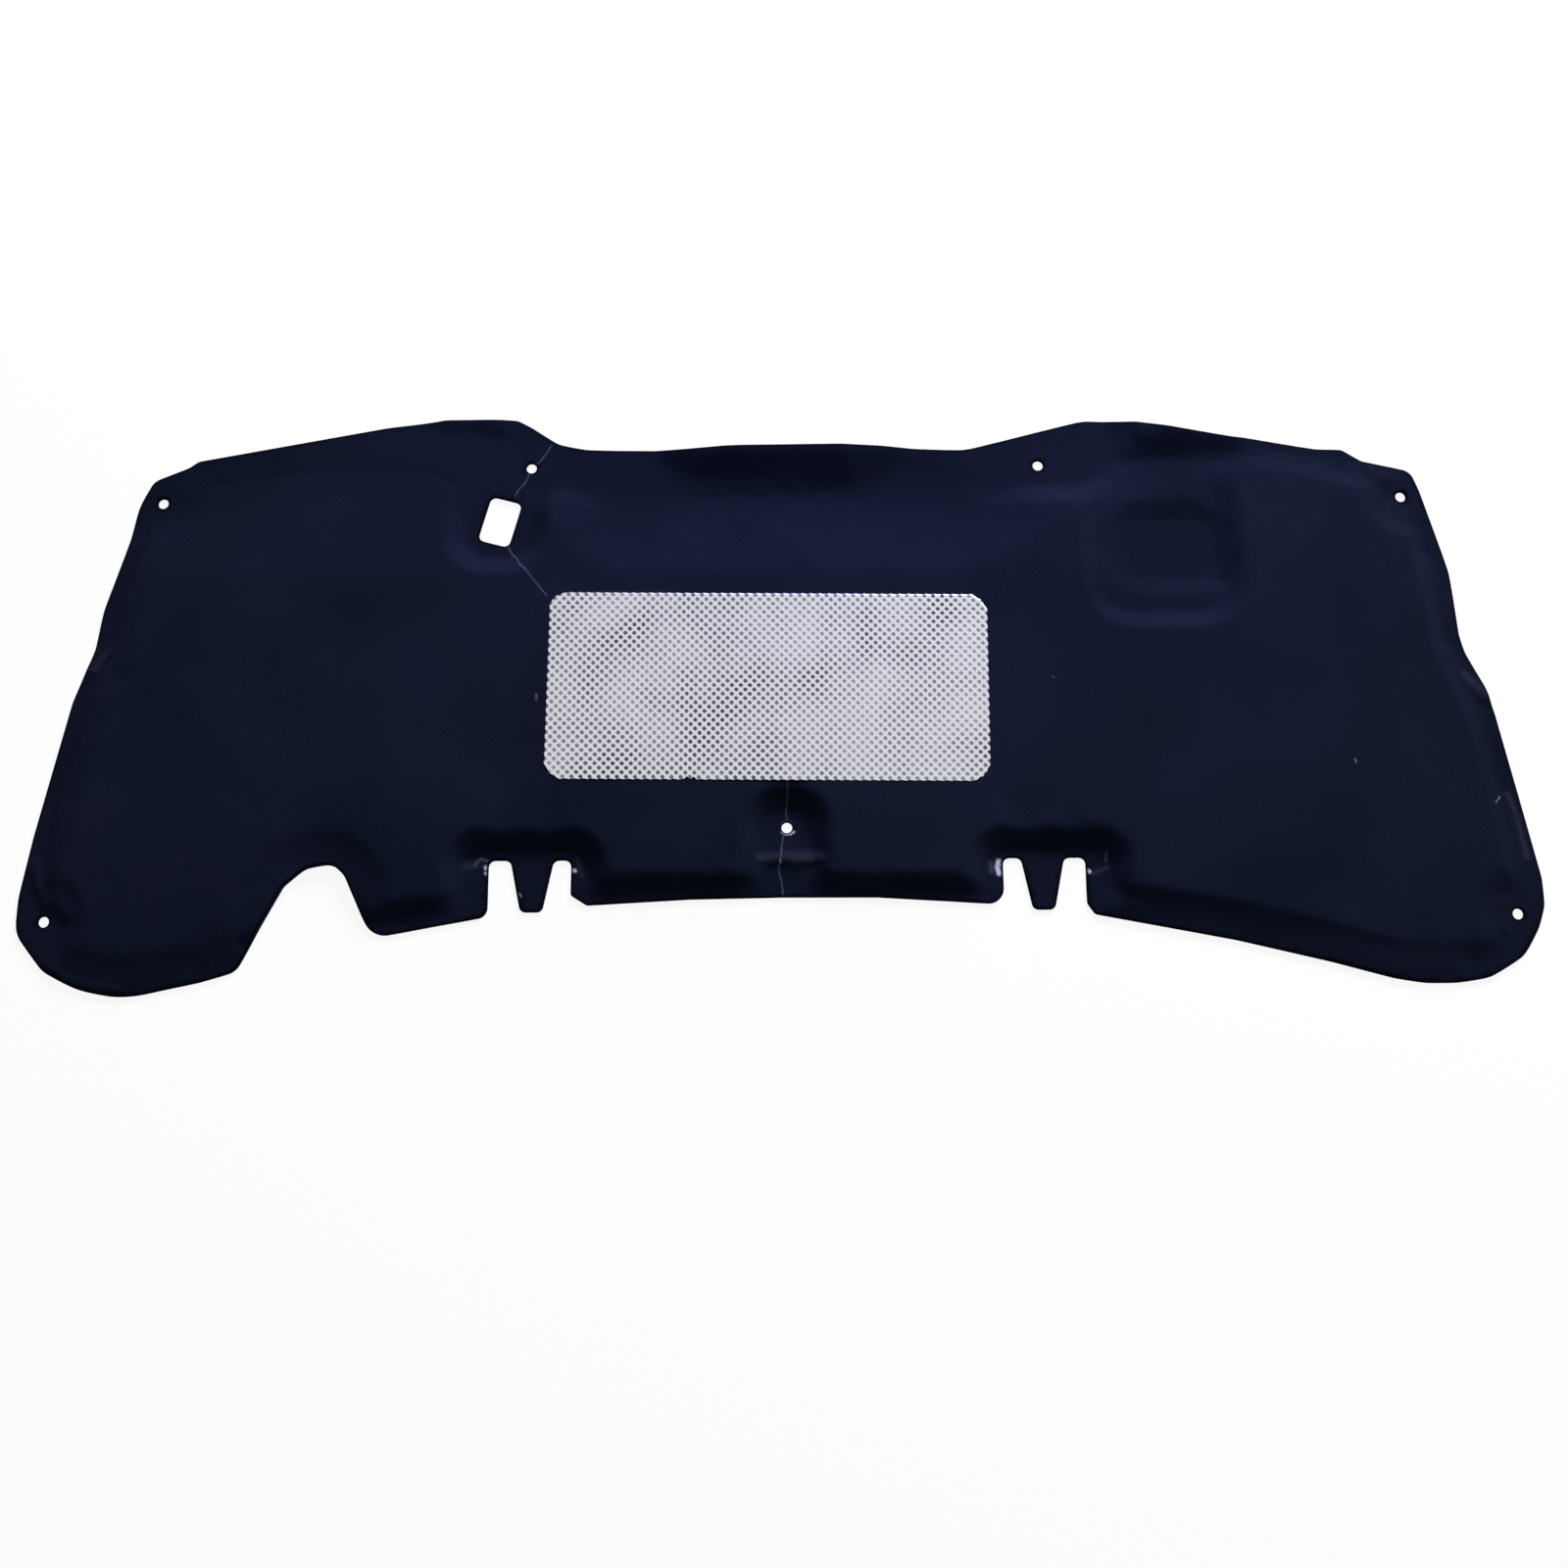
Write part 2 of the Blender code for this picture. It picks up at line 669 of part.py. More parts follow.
def relief_points():
    """Points along every moulded wall, at its foot, halfway up and at its shoulder.

    Where walls crowd each other the first points are kept. The lands round the clips come first,
    because a clip needs a flat seat, and a swelling's shoulder comes before its foot.
    """
    rings = []
    for outline, _, run in hollows():
        rings += [beside(outline, -share * run) for share in (0.0, 0.5, 1.0)]
    for outline, _, run in swellings():
        rings += [beside(outline, share * run) for share in (1.0, 0.0)]
    foot = plateau_foot()
    rings += [beside(foot, share * WALL_RUN) for share in (0.0, 0.5, 1.0)]
    return np.concatenate(rings)


def field_points():
    """A coarse square field of points, for the gentle fall of the body."""
    xs = np.arange(-PAD_LENGTH / 2, PAD_LENGTH / 2, FIELD_STEP)
    ys = np.arange(-PAD_DEPTH / 2, PAD_DEPTH / 2, FIELD_STEP)
    return np.array([(x, y) for x in xs for y in ys])


def thinned(kept, candidates, distance):
    """The kept points, and the candidates that keep their distance from them and from each other."""
    chosen = list(kept)
    for candidate in candidates:
        gaps = np.linalg.norm(np.array(chosen) - candidate, axis=1)
        if gaps.min() > distance:
            chosen.append(candidate)
    return np.array(chosen)


def face_height(points):
    underside, thickness = section(points)
    return underside + thickness


def sagging(plan, faces):
    """The middles of the triangles whose flat surface misses the pressed face, the worst first."""
    middles = plan[faces].mean(axis=1)
    sag = np.abs(face_height(plan)[faces].mean(axis=1) - face_height(middles))
    worst_first = np.argsort(-sag)
    return middles[worst_first[sag[worst_first] > LARGEST_SAG]]


def triangulated(points, edges, outline, holes):
    """The points joined into triangles over the mat's plan, with the holes left open."""
    made = delaunay_2d_cdt([Vector(point) for point in points], edges, [], 0, MERGE_DISTANCE)
    plan = np.array([tuple(vertex) for vertex in made[0]])
    faces = np.array(made[2])
    middles = plan[faces].mean(axis=1)
    solid = depth_inside(middles, outline) > 0.0
    for hole in holes:
        solid &= depth_inside(middles, hole) < 0.0
    return plan, faces[solid]


def pad_triangles():
    """The mat's plan as points and triangles, fine enough to follow its pressed walls."""
    outline = split_long_edges(pad_outline(), EDGE_STEP)
    holes = [circle(*place, CLIP_HOLE_DIAMETER / 2, HOLE_SIDES) for place in clip_holes().values()]
    holes.append(window_hole())
    loops = [outline, *holes, split_long_edges(foil_seat(), EDGE_STEP)]
    edges = []
    start = 0
    for loop in loops:
        edges += [(start + i, start + (i + 1) % len(loop)) for i in range(len(loop))]
        start += len(loop)
    points = np.concatenate(loops)
    for inner, distance in ((relief_points(), CLOSEST_POINTS), (field_points(), FIELD_CLEARANCE)):
        inner = inner[depth_inside(inner, outline) > CLOSEST_POINTS / 2]
        inner = inner[depth_inside(inner, loops[-1]) < 0.0]
        for hole in holes:
            inner = inner[depth_inside(inner, hole) < -CLOSEST_POINTS / 2]
        points = thinned(points, inner, distance)
    for _ in range(REFINEMENTS):
        plan, faces = triangulated(points, edges, outline, holes)
        points = thinned(points, sagging(plan, faces), CLOSEST_POINTS)
    return triangulated(points, edges, outline, holes)


def finish_object(name, mesh, material, collection):
    mesh.materials.append(material)
    piece = bpy.data.objects.new(name, mesh)
    collection.objects.link(piece)
    return piece


def insulation_pad(collection):
    """The moulded mat: its plan is laid out flat, then pressed to its section."""
    plan, faces = pad_triangles()
    underside, thickness = section(plan)
    sheet = bmesh.new()
    depth = sheet.verts.layers.float.new("thickness")
    for (x, y), low, thick in zip(plan, underside, thickness):
        vertex = sheet.verts.new((x, y, low))
        vertex[depth] = thick
    sheet.verts.ensure_lookup_table()
    for face in faces:
        sheet.faces.new([sheet.verts[index] for index in face])
    loose = [vertex for vertex in sheet.verts if not vertex.link_faces]
    bmesh.ops.delete(sheet, geom=loose, context="VERTS")
    grown = bmesh.ops.extrude_face_region(sheet, geom=sheet.faces[:], use_keep_orig=True)
    for element in grown["geom"]:
        if isinstance(element, bmesh.types.BMVert):
            element.co.z += element[depth]
    bmesh.ops.recalc_face_normals(sheet, faces=sheet.faces[:])
    mesh = bpy.data.meshes.new("insulation_pad")
    sheet.to_mesh(mesh)
    sheet.free()
    mesh.shade_smooth()
    mesh.set_sharp_from_angle(angle=CREASE_ANGLE)
    felt = principled("nonwoven_faced_felt", (0.010, 0.012, 0.028), 0.9, 0.0)
    return finish_object("insulation_pad", mesh, felt, collection)


def foil_underside():
    """Height of the foil's underside, a bond line above the body's flat seat."""
    return RIM_THICKNESS + PLATEAU_RISE + FOIL_GAP


def within(place, half_length, half_width):
    return abs(place.x) < half_length and abs(place.y) < half_width


def diamond_lattice():
    """A closed slab whose top is stamped with diamonds, wide enough for the whole shield."""
    side = DIAMOND_PITCH / math.sqrt(2)
    reach = (FOIL_LENGTH + FOIL_WIDTH) / 2 / math.sqrt(2) + side
    count = math.ceil(2 * reach / side)
    middle = Matrix.Translation((FOIL_X, FOIL_Y, foil_underside() + FOIL_THICKNESS))
    turn = Matrix.Rotation(math.radians(45.0), 4, "Z")
    slab = bmesh.new()
    bmesh.ops.create_grid(slab, x_segments=count, y_segments=count, size=count * side / 2, matrix=turn)
    half_length, half_width = FOIL_LENGTH / 2 + side, FOIL_WIDTH / 2 + side
    spare = [face for face in slab.faces if not within(face.calc_center_median(), half_length, half_width)]
    bmesh.ops.delete(slab, geom=spare, context="FACES")
    bmesh.ops.poke(slab, faces=slab.faces[:], offset=DIAMOND_RISE)
    rim = [edge for edge in slab.edges if edge.is_boundary]
    grown = bmesh.ops.extrude_edge_only(slab, edges=rim)
    lowered = [element for element in grown["geom"] if isinstance(element, bmesh.types.BMVert)]
    bmesh.ops.translate(slab, verts=lowered, vec=(0.0, 0.0, -2 * FOIL_THICKNESS))
    lower_rim = [edge for edge in grown["geom"] if isinstance(edge, bmesh.types.BMEdge) and edge.is_boundary]
    bmesh.ops.holes_fill(slab, edges=lower_rim)
    bmesh.ops.recalc_face_normals(slab, faces=slab.faces[:])
    slab.transform(middle @ Matrix.Rotation(FOIL_TURN, 4, "Z"))
    mesh = bpy.data.meshes.new("foil_shield")
    slab.to_mesh(mesh)
    slab.free()
    return mesh


def foil_blank(collection):
    """The shield's cut outline as a prism, from the foil's underside to above its diamonds."""
    outline = turned_box(FOIL_X, FOIL_Y, FOIL_LENGTH, FOIL_WIDTH, FOIL_CORNER_RADIUS, FOIL_TURN)
    prism = bmesh.new()
    prism.faces.new([prism.verts.new((x, y, foil_underside())) for x, y in outline])
    grown = bmesh.ops.extrude_face_region(prism, geom=prism.faces[:], use_keep_orig=True)
    raised = [element for element in grown["geom"] if isinstance(element, bmesh.types.BMVert)]
    bmesh.ops.translate(prism, verts=raised, vec=(0.0, 0.0, FOIL_THICKNESS + 2 * DIAMOND_RISE))
    bmesh.ops.recalc_face_normals(prism, faces=prism.faces[:])
    mesh = bpy.data.meshes.new("foil_blank")
    prism.to_mesh(mesh)
    prism.free()
    blank = bpy.data.objects.new("foil_blank", mesh)
    collection.objects.link(blank)
    blank.display_type = "WIRE"
    blank.hide_render = True
    return blank


def foil_shield(collection, cutters):
    """The foil heat shield: the diamond lattice, trimmed to the shield's outline."""
    foil = principled("stamped_aluminium_foil", (0.80, 0.81, 0.82), 0.3, 1.0)
    shield = finish_object("foil_shield", diamond_lattice(), foil, collection)
    trim = shield.modifiers.new("trim_to_outline", "BOOLEAN")
    trim.operation = "INTERSECT"
    trim.solver = "EXACT"
    trim.object = foil_blank(cutters)
    return shield


def main():
    clear_scene()
    scene = bpy.context.scene
    collection = bpy.data.collections.new("hood_insulation_pad")
    cutters = bpy.data.collections.new("cutters")
    scene.collection.children.link(collection)
    scene.collection.children.link(cutters)
    for piece in (insulation_pad(collection), foil_shield(collection, cutters)):
        shape = piece.evaluated_get(bpy.context.evaluated_depsgraph_get()).data
        shape.calc_loop_triangles()
        print(piece.name, len(shape.loop_triangles), "triangles")


main()
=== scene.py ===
# %% [markdown]
# # A moulded hood insulation pad
# The pad is a mat of pressed felt that hangs under a car's hood and soaks up engine noise. A thin
# dark fleece faces it, and a sheet of embossed aluminium foil shields its middle from heat. The
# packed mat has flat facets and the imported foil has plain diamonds. This lesson keeps their size
# and place, and gives them the soft shoulders, the round pits, the worn places and the materials
# that the photo shows.

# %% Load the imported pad
import math

import bmesh
import bpy
import numpy as np
from mathutils import Matrix, Vector, kdtree
from mathutils.bvhtree import BVHTree
from mathutils.geometry import delaunay_2d_cdt


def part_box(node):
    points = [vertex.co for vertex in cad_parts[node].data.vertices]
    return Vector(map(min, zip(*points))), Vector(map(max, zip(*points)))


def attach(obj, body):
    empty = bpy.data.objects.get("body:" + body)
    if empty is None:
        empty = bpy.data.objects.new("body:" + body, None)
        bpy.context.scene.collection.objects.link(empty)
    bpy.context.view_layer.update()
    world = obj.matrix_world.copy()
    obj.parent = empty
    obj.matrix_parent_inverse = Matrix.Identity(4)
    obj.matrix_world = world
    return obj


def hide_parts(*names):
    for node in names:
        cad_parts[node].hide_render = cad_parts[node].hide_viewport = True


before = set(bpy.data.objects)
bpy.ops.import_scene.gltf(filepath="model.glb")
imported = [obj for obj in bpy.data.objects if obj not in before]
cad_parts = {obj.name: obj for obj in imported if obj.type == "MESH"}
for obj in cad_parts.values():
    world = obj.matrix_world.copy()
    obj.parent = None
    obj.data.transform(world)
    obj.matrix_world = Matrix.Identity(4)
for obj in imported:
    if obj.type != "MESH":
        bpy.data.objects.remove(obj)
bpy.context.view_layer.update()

MM = 0.001
TINY = 1e-12

# %% [markdown]
# ## Reading the mat's shape
# The real mat is pressed between two heated moulds, so its face and back are two height fields over
# one die-cut outline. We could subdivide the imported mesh, but its long triangles would turn lumpy.
# Instead we read three things from it: the cut loops, the height of the face and the height of the
# back. A new, even mesh can then be laid out on them.

# %% Find the cut loops
SAME_CORNER = 1e-6
SIDE_SLOPE, FACE_SLOPE = 0.01, 0.1

packed = bmesh.new()
packed.from_mesh(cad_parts["insulation_pad"].data)
bmesh.ops.remove_doubles(packed, verts=packed.verts, dist=SAME_CORNER)
packed.normal_update()
packed_surface = BVHTree.FromBMesh(packed)


def cut_loops(mesh):
    """The closed loops where the face meets a cut side, as arrays of (x, y)."""
    beside = {}
    for edge in mesh.edges:
        slopes = sorted(face.normal.z for face in edge.link_faces)
        if len(slopes) == 2 and abs(slopes[0]) < SIDE_SLOPE and slopes[1] > FACE_SLOPE:
            first, second = edge.verts
            beside.setdefault(first, []).append(second)
            beside.setdefault(second, []).append(first)
    loops = []
    while beside:
        loop = [next(iter(beside))]
        while loop:
            onward = [v for v in beside.pop(loop[-1]) if v in beside]
            if not onward:
                break
            loop.append(onward[0])
        loops.append(np.array([tuple(vertex.co.xy) for vertex in loop]))
    return sorted(loops, key=len, reverse=True)


rough_loops = cut_loops(packed)
print("cut loops, with their number of corners:", [len(loop) for loop in rough_loops])

# %% Draw each loop as a smooth curve
LOOP_STEP = 2.2 * MM


def area(loop):
    """The area inside a loop, negative where the loop runs clockwise."""
    after = np.roll(loop, -1, axis=0)
    return 0.5 * np.sum(loop[:, 0] * after[:, 1] - after[:, 0] * loop[:, 1])


def headings(loop):
    """The direction of travel at each point of a closed loop."""
    heading = np.roll(loop, -1, axis=0) - np.roll(loop, 1, axis=0)
    return heading / np.linalg.norm(heading, axis=1)[:, None]


def left_of(heading):
    """The directions a quarter turn to the left, which is inward on an anticlockwise loop."""
    return np.column_stack((-heading[:, 1], heading[:, 0]))


def smooth_loop(corners):
    """Points on a smooth closed curve through the corners, anticlockwise."""
    if area(corners) < 0:
        corners = corners[::-1]
    heading = headings(corners)
    points = []
    for index in range(len(corners)):
        ahead = (index + 1) % len(corners)
        start, end = corners[index], corners[ahead]
        span = np.linalg.norm(end - start)
        count = max(1, math.ceil(span / LOOP_STEP))
        for t in np.arange(count) / count:
            along = (1 + 2 * t) * (1 - t) ** 2 * start + t * t * (3 - 2 * t) * end
            bend = t * (1 - t) ** 2 * heading[index] - t * t * (1 - t) * heading[ahead]
            points.append(along + bend * span)
    return np.array(points)


loops = [smooth_loop(loop) for loop in rough_loops]
print("points on the smooth loops:", sum(len(loop) for loop in loops))

# %% Read the height of the face and the back
CELL = 2.5 * MM
MARGIN_CELLS = 12
BLUR_REACH = 2.5
low, high = (np.array(corner.xy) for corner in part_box("insulation_pad"))
columns = np.arange(low[0] - MARGIN_CELLS * CELL, high[0] + MARGIN_CELLS * CELL, CELL)
rows = np.arange(low[1] - MARGIN_CELLS * CELL, high[1] + MARGIN_CELLS * CELL, CELL)


def heights(side):
    """The face's height (side 1) or the back's (side -1) over every cell, and nan off the mat."""
    found = np.full((len(rows), len(columns)), np.nan)
    down = Vector((0, 0, -side))
    for row, y in enumerate(rows):
        for column, x in enumerate(columns):
            hit = packed_surface.ray_cast(Vector((x, y, side)), down)[0]
            if hit is not None:
                found[row, column] = hit.z
    return found


def softened(grid, radius):
    """The grid blurred over a radius in metres, which also carries it a little past the cut edge."""
    reach = math.ceil(BLUR_REACH * radius / CELL)
    weight = np.isfinite(grid).astype(float)
    value = np.where(weight > 0, grid, 0.0)
    for axis in (0, 1):
        steps = [(math.exp(-0.5 * (s * CELL / radius) ** 2), s) for s in range(-reach, reach + 1)]
        value = sum(share * np.roll(value, step, axis) for share, step in steps)
        weight = sum(share * np.roll(weight, step, axis) for share, step in steps)
    return value / np.maximum(weight, TINY)


def read(grid, points):
    """The grid's value at each point, between its four nearest cells."""
    across = (points[:, 0] - columns[0]) / CELL
    along = (points[:, 1] - rows[0]) / CELL
    c, r = across.astype(int), along.astype(int)
    fc, fr = across - c, along - r
    lower = grid[r, c] * (1 - fc) + grid[r, c + 1] * fc
    upper = grid[r + 1, c] * (1 - fc) + grid[r + 1, c + 1] * fc
    return lower * (1 - fr) + upper * fr


SOFT_SHOULDER = 3.6 * MM
face_height = softened(heights(1), SOFT_SHOULDER)
back_height = softened(heights(-1), SOFT_SHOULDER)
print("height grid:", face_height.shape, "top of the face in mm:", round(face_height.max() / MM, 2))

# %% [markdown]
# ## Small forms and marks
# Between the big moulded steps a real mat has low beads, pinched folds and dents from packing, and
# its fleece carries pale spots of wear and hairline scores. Pale strokes along some beads and
# folds are painted highlights, kept in one table with the wear. Each bead or fold is a line with a
# width and a rise. Each mark is a line or a spot that the mesh stores as a value for the material
# to read, so that it stays on the mat from every side.

# %% List the forms and marks, in millimetres
# Each fold: the points of its line, the half width and the rise, which is negative for a groove
FOLDS = [
    ([(458, 242), (481, 236), (519, 229)], 2.6, 0.8),
    ([(463, 233), (491, 227), (524, 221)], 2.6, 0.5),
    ([(-540, 214), (-508, 220), (-470, 225), (-375, 229), (-337, 225), (-318, 214)], 5.0, -0.6),
    ([(630, 36), (642, 15), (655, 3), (664, -5)], 7.0, 2.0),
    ([(675, -101), (680, -117), (683, -138), (687, -160)], 3.2, 1.3),
    ([(592, 184), (604, 176)], 8.0, 0.8),
    ([(610, 162), (616, 146)], 7.0, 0.7),
    ([(620, 128), (626, 108)], 8.0, 0.9),
    ([(632, 92), (634, 70)], 7.0, 0.7),
    ([(661, -199), (658, -214), (660, -226)], 4.5, 1.1),
    ([(-648, 28), (-642, 36), (-634, 43)], 6.0, 1.8),
    ([(-668, -68), (-669, -96), (-668, -119)], 3.0, 0.9),
    ([(-687, -157), (-682, -178), (-673, -196)], 4.5, 1.5),
    ([(-667, -250), (-651, -263), (-628, -271), (-598, -275)], 4.0, 1.5),
    ([(-452, -176), (-464, -190), (-475, -207), (-485, -226)], 6.0, 1.2),
    ([(-612, 40), (-590, 8), (-560, -20)], 22.0, 0.5),
    ([(-520, -108), (-490, -126), (-452, -132)], 16.0, 0.6),
    ([(-18, -156), (34, -156)], 5.5, 1.5),
    ([(-664, -192), (-653, -203)], 9.0, 2.4),
    ([(-30, 247), (165, 246)], 26.0, 2.0),
    ([(303, 190), (303, 110)], 16.0, 3.0),
    ([(419, 198), (419, 112)], 11.0, -2.2),
    ([(455, 246), (500, 238), (545, 228), (590, 214)], 12.0, 2.2),
    ([(-372, -206), (-318, -196)], 12.0, 2.2),
    ([(305, -200), (416, -219), (502, -240), (560, -256), (612, -259)], 11.0, 2.6),
    ([(-655, -252), (-610, -265), (-588, -265), (-500, -243)], 11.0, 2.2),
]
# Each dent: its middle, its radius and its depth
DENTS = [(-185, 180, 4.0, 1.0), (76, 161, 3.0, 0.6), (-238, 210, 7.0, 0.8)]
# Each spot of wear and each painted highlight: the points of its line, the half width and how pale
# it looks, from 0 to 1
WEAR_AND_HIGHLIGHT_STROKES = [
    ([(-271.6, -162.4), (-271.2, -163.8)], 2.2, 0.97),
    ([(-271.4, -168.2), (-269.8, -169.0)], 2.0, 0.90),
    ([(-281.5, -161.2), (-279.4, -157.4), (-275.8, -155.0), (-270.5, -156.6)], 2.0, 0.42),
    ([(-289.0, -161.5), (-279.0, -160.0)], 5.0, 0.20),
    ([(-190.8, -165.8), (-189.0, -166.4)], 2.3, 0.95),
    ([(-186.4, -158.5), (-184.5, -164.0), (-182.5, -170.4)], 3.2, 0.20),
    ([(-188.4, -150.5), (-187.4, -157.5)], 2.0, 0.17),
    ([(200.8, -159.5), (199.6, -164.5), (200.8, -171.0)], 3.0, 0.95),
    ([(193.8, -161.5), (194.2, -168.8)], 3.2, 0.30),
    ([(283.0, -168.6), (284.2, -169.8)], 2.2, 0.95),
    ([(286.5, -171.6), (293.5, -168.5), (302.0, -165.2)], 2.6, 0.22),
    ([(300.1, -150.5), (299.6, -160.5)], 1.5, 0.34),
    # These two strokes paint a pale ring round the tail hole, palest along its rear side.
    ([(1.2, -129.6), (0.2, -125.5), (1.8, -121.6), (6.0, -119.8), (10.4, -121.8),
      (12.2, -126.0)], 1.0, 0.42),
    ([(1.6, -131.0), (4.6, -133.0), (9.2, -133.0), (12.4, -131.0)], 1.6, 0.97),
    # These four strokes are painted highlights along the low bead.
    ([(-20.0, -155.0), (36.0, -155.0)], 6.5, 0.17),
    ([(12.0, -158.0), (30.0, -157.5)], 4.0, 0.24),
    ([(-20.0, -156.0), (-8.0, -158.0)], 4.0, 0.20),
    ([(-4.0, -151.5), (12.0, -151.0)], 2.4, 0.16),
    ([(-0.2, -157.6), (0.2, -159.4)], 1.3, 0.62),
    ([(-239.4, -187.4), (-238.2, -190.0)], 1.2, 0.55),
    ([(-227.1, -2.0), (-226.6, -4.6)], 1.4, 0.50),
    ([(-227.4, -6.4), (-227.0, -8.2)], 1.2, 0.40),
    ([(254.8, 12.6), (256.8, 12.0)], 0.9, 0.40),
    ([(532.4, -67.8), (532.7, -71.0)], 1.0, 0.55),
    ([(661.9, -107.8), (663.2, -106.2)], 1.1, 0.55),
    ([(665.3, -104.4), (666.6, -102.4)], 1.1, 0.60),
    # These three strokes are painted highlights along the folds at the mat's two ends.
    ([(675.3, -100.6), (680.0, -117.4), (683.4, -137.7), (686.6, -159.8)], 5.0, 0.18),
    ([(-648.0, 28.2), (-642.2, 35.9), (-636.0, 42.0)], 6.0, 0.15),
    ([(646.0, 16.0), (655.1, 4.3), (663.0, -4.0)], 6.0, 0.15),
]
# Each hairline score: the points of its line
SCORES = [
    [(-221.8, 252.0), (-226, 245), (-232, 236.5), (-241.3, 229.7), (-243.0, 221), (-246, 214),
     (-251.0, 209.0), (-254.8, 202.4)],
    [(-260.0, 149.0), (-257.0, 143.0), (-251.0, 136.0), (-247.5, 128.5), (-241.0, 122.0),
     (-231.4, 109.1), (-219.9, 95.3)],
    [(6.3, -85.6), (7.2, -96.0), (6.2, -104.0), (5.3, -112.0), (6.1, -122.4)],
    [(2.6, -134.0), (1.4, -143.0), (0.4, -155.0), (-1.6, -164.0), (-1.0, -171.0), (0.9, -178.0),
     (2.1, -188.7)],
]
SCORE_HALF_WIDTH = 0.55
print("folds:", len(FOLDS), "dents:", len(DENTS), "rubbed:", len(WEAR_AND_HIGHLIGHT_STROKES), "scored:", len(SCORES))

# %% Turn a line into points, and into a distance


def resampled(line, step):
    """Points a step apart along a line of corners."""
    line = np.array(line, float)
    lengths = np.linalg.norm(np.diff(line, axis=0), axis=1)
    travelled = np.concatenate(([0.0], np.cumsum(lengths)))
    stations = np.linspace(0.0, travelled[-1], max(2, round(travelled[-1] / step)))
    return np.column_stack([np.interp(stations, travelled, line[:, axis]) for axis in (0, 1)])


def distance_to(points, line):
    """Each point's distance from a line of corners, in the points' own unit."""
    line = np.array(line, float)
    nearest = np.full(len(points), np.inf)
    for start, end in zip(line[:-1], line[1:]):
        along = end - start
        share = np.clip(((points - start) @ along) / (along @ along), 0.0, 1.0)
        gap = np.linalg.norm(points - start - share[:, None] * along, axis=1)
        nearest = np.minimum(nearest, gap)
    return nearest


def small_forms(points):
    """How far the folds raise and the dents lower the face at each point, in metres."""
    mm = points / MM
    rise = np.zeros(len(points))
    for line, half_width, height in FOLDS:
        rise += height * np.exp(-((distance_to(mm, line) / half_width) ** 2))
    for x, y, radius, depth in DENTS:
        rise -= depth * np.exp(-(((mm[:, 0] - x) ** 2 + (mm[:, 1] - y) ** 2) / radius**2))
    return rise * MM


lengths = [np.linalg.norm(np.diff(line, axis=0), axis=1).sum() for line in SCORES]
print("lengths of the scores in mm:", [round(float(length)) for length in lengths])

# %% [markdown]
# ## The mat's mesh
# The outline needs points every couple of millimetres, the moulded walls need a fine net, and the
# open felt only a coarse one. Blender's constrained Delaunay triangulation joins all of them into
# one clean layout that keeps to the cut loops. The face and the back each get a layout of their
# own. They share the loops, so the cut sides close between them.

# %% Measure the distance to the cut edges


def point_tree(points):
    """A search tree over points of the plan."""
    tree = kdtree.KDTree(len(points))
    for index, point in enumerate(points):
        tree.insert((*point, 0.0), index)
    tree.balance()
    return tree


def gaps_to(tree, points):
    """Each point's distance from the nearest point in a tree."""
    return np.array([tree.find((x, y, 0.0))[2] for x, y in points])


loop_tree = point_tree(np.concatenate(loops))
clip_gaps = gaps_to(loop_tree, np.array([loop.mean(axis=0) for loop in loops[1:]]))
print("from each hole's middle to the felt in mm:", (clip_gaps / MM).round(1).tolist())

# %% Tell felt from open air

# Points are tested in batches, to save memory
BATCH = 4000


def inside(points, loop):
    """Which points lie inside a closed loop. A level side counts as rising by next to nothing."""
    ends = np.roll(loop, -1, axis=0)
    run = np.where(ends[:, 1] == loop[:, 1], TINY, ends[:, 1] - loop[:, 1])
    found = np.zeros(len(points), bool)
    for first in range(0, len(points), BATCH):
        batch = slice(first, first + BATCH)
        x, y = points[batch, 0:1], points[batch, 1:2]
        above = (loop[:, 1] > y) != (ends[:, 1] > y)
        crossing = loop[:, 0] + (y - loop[:, 1]) * (ends[:, 0] - loop[:, 0]) / run
        found[batch] = (above & (x < crossing)).sum(axis=1) % 2 == 1
    return found


def between(points, outlines):
    """Which points lie inside the first outline and outside the others, which are holes."""
    found = inside(points, outlines[0])
    for hole in outlines[1:]:
        found &= ~inside(points, hole)
    return found


felt_area = area(loops[0]) - sum(area(hole) for hole in loops[1:])
print("area of felt in square metres:", round(float(felt_area), 3))

# %% Choose where the mesh needs points
FINE_STEP, COARSE_STEP = 2.6 * MM, 6.5 * MM
BACK_FINE_STEP, BACK_COARSE_STEP = 4.0 * MM, 9.0 * MM
ROLL_RADIUS = 1.3 * MM
ROLL_RINGS = (0.35, 1.0)
EDGE_CLEARANCE = 2.0 * MM
MARK_CLEARANCE = 0.9 * MM
BEND_BLUR = 4 * MM
WALL_BEND = 4.0


def offset_ring(loop, distance):
    """The loop moved sideways into the felt, for the rolled lip of its cut edge."""
    return loop + left_of(headings(loop)) * (distance if loop is loops[0] else -distance)


def net(step):
    """Points of a staggered net over the whole mat."""
    ys = np.arange(low[1], high[1], step * math.sqrt(3) / 2)
    xs = np.arange(low[0], high[0], step)
    return np.array([(x + (row % 2) * step / 2, y) for row, y in enumerate(ys) for x in xs])


def curvature(grid):
    """How sharply the surface bends at every cell."""
    bend = sum(np.abs(np.roll(grid, 1, axis) + np.roll(grid, -1, axis) - 2 * grid) for axis in (0, 1))
    return softened(bend, BEND_BLUR) / CELL**2


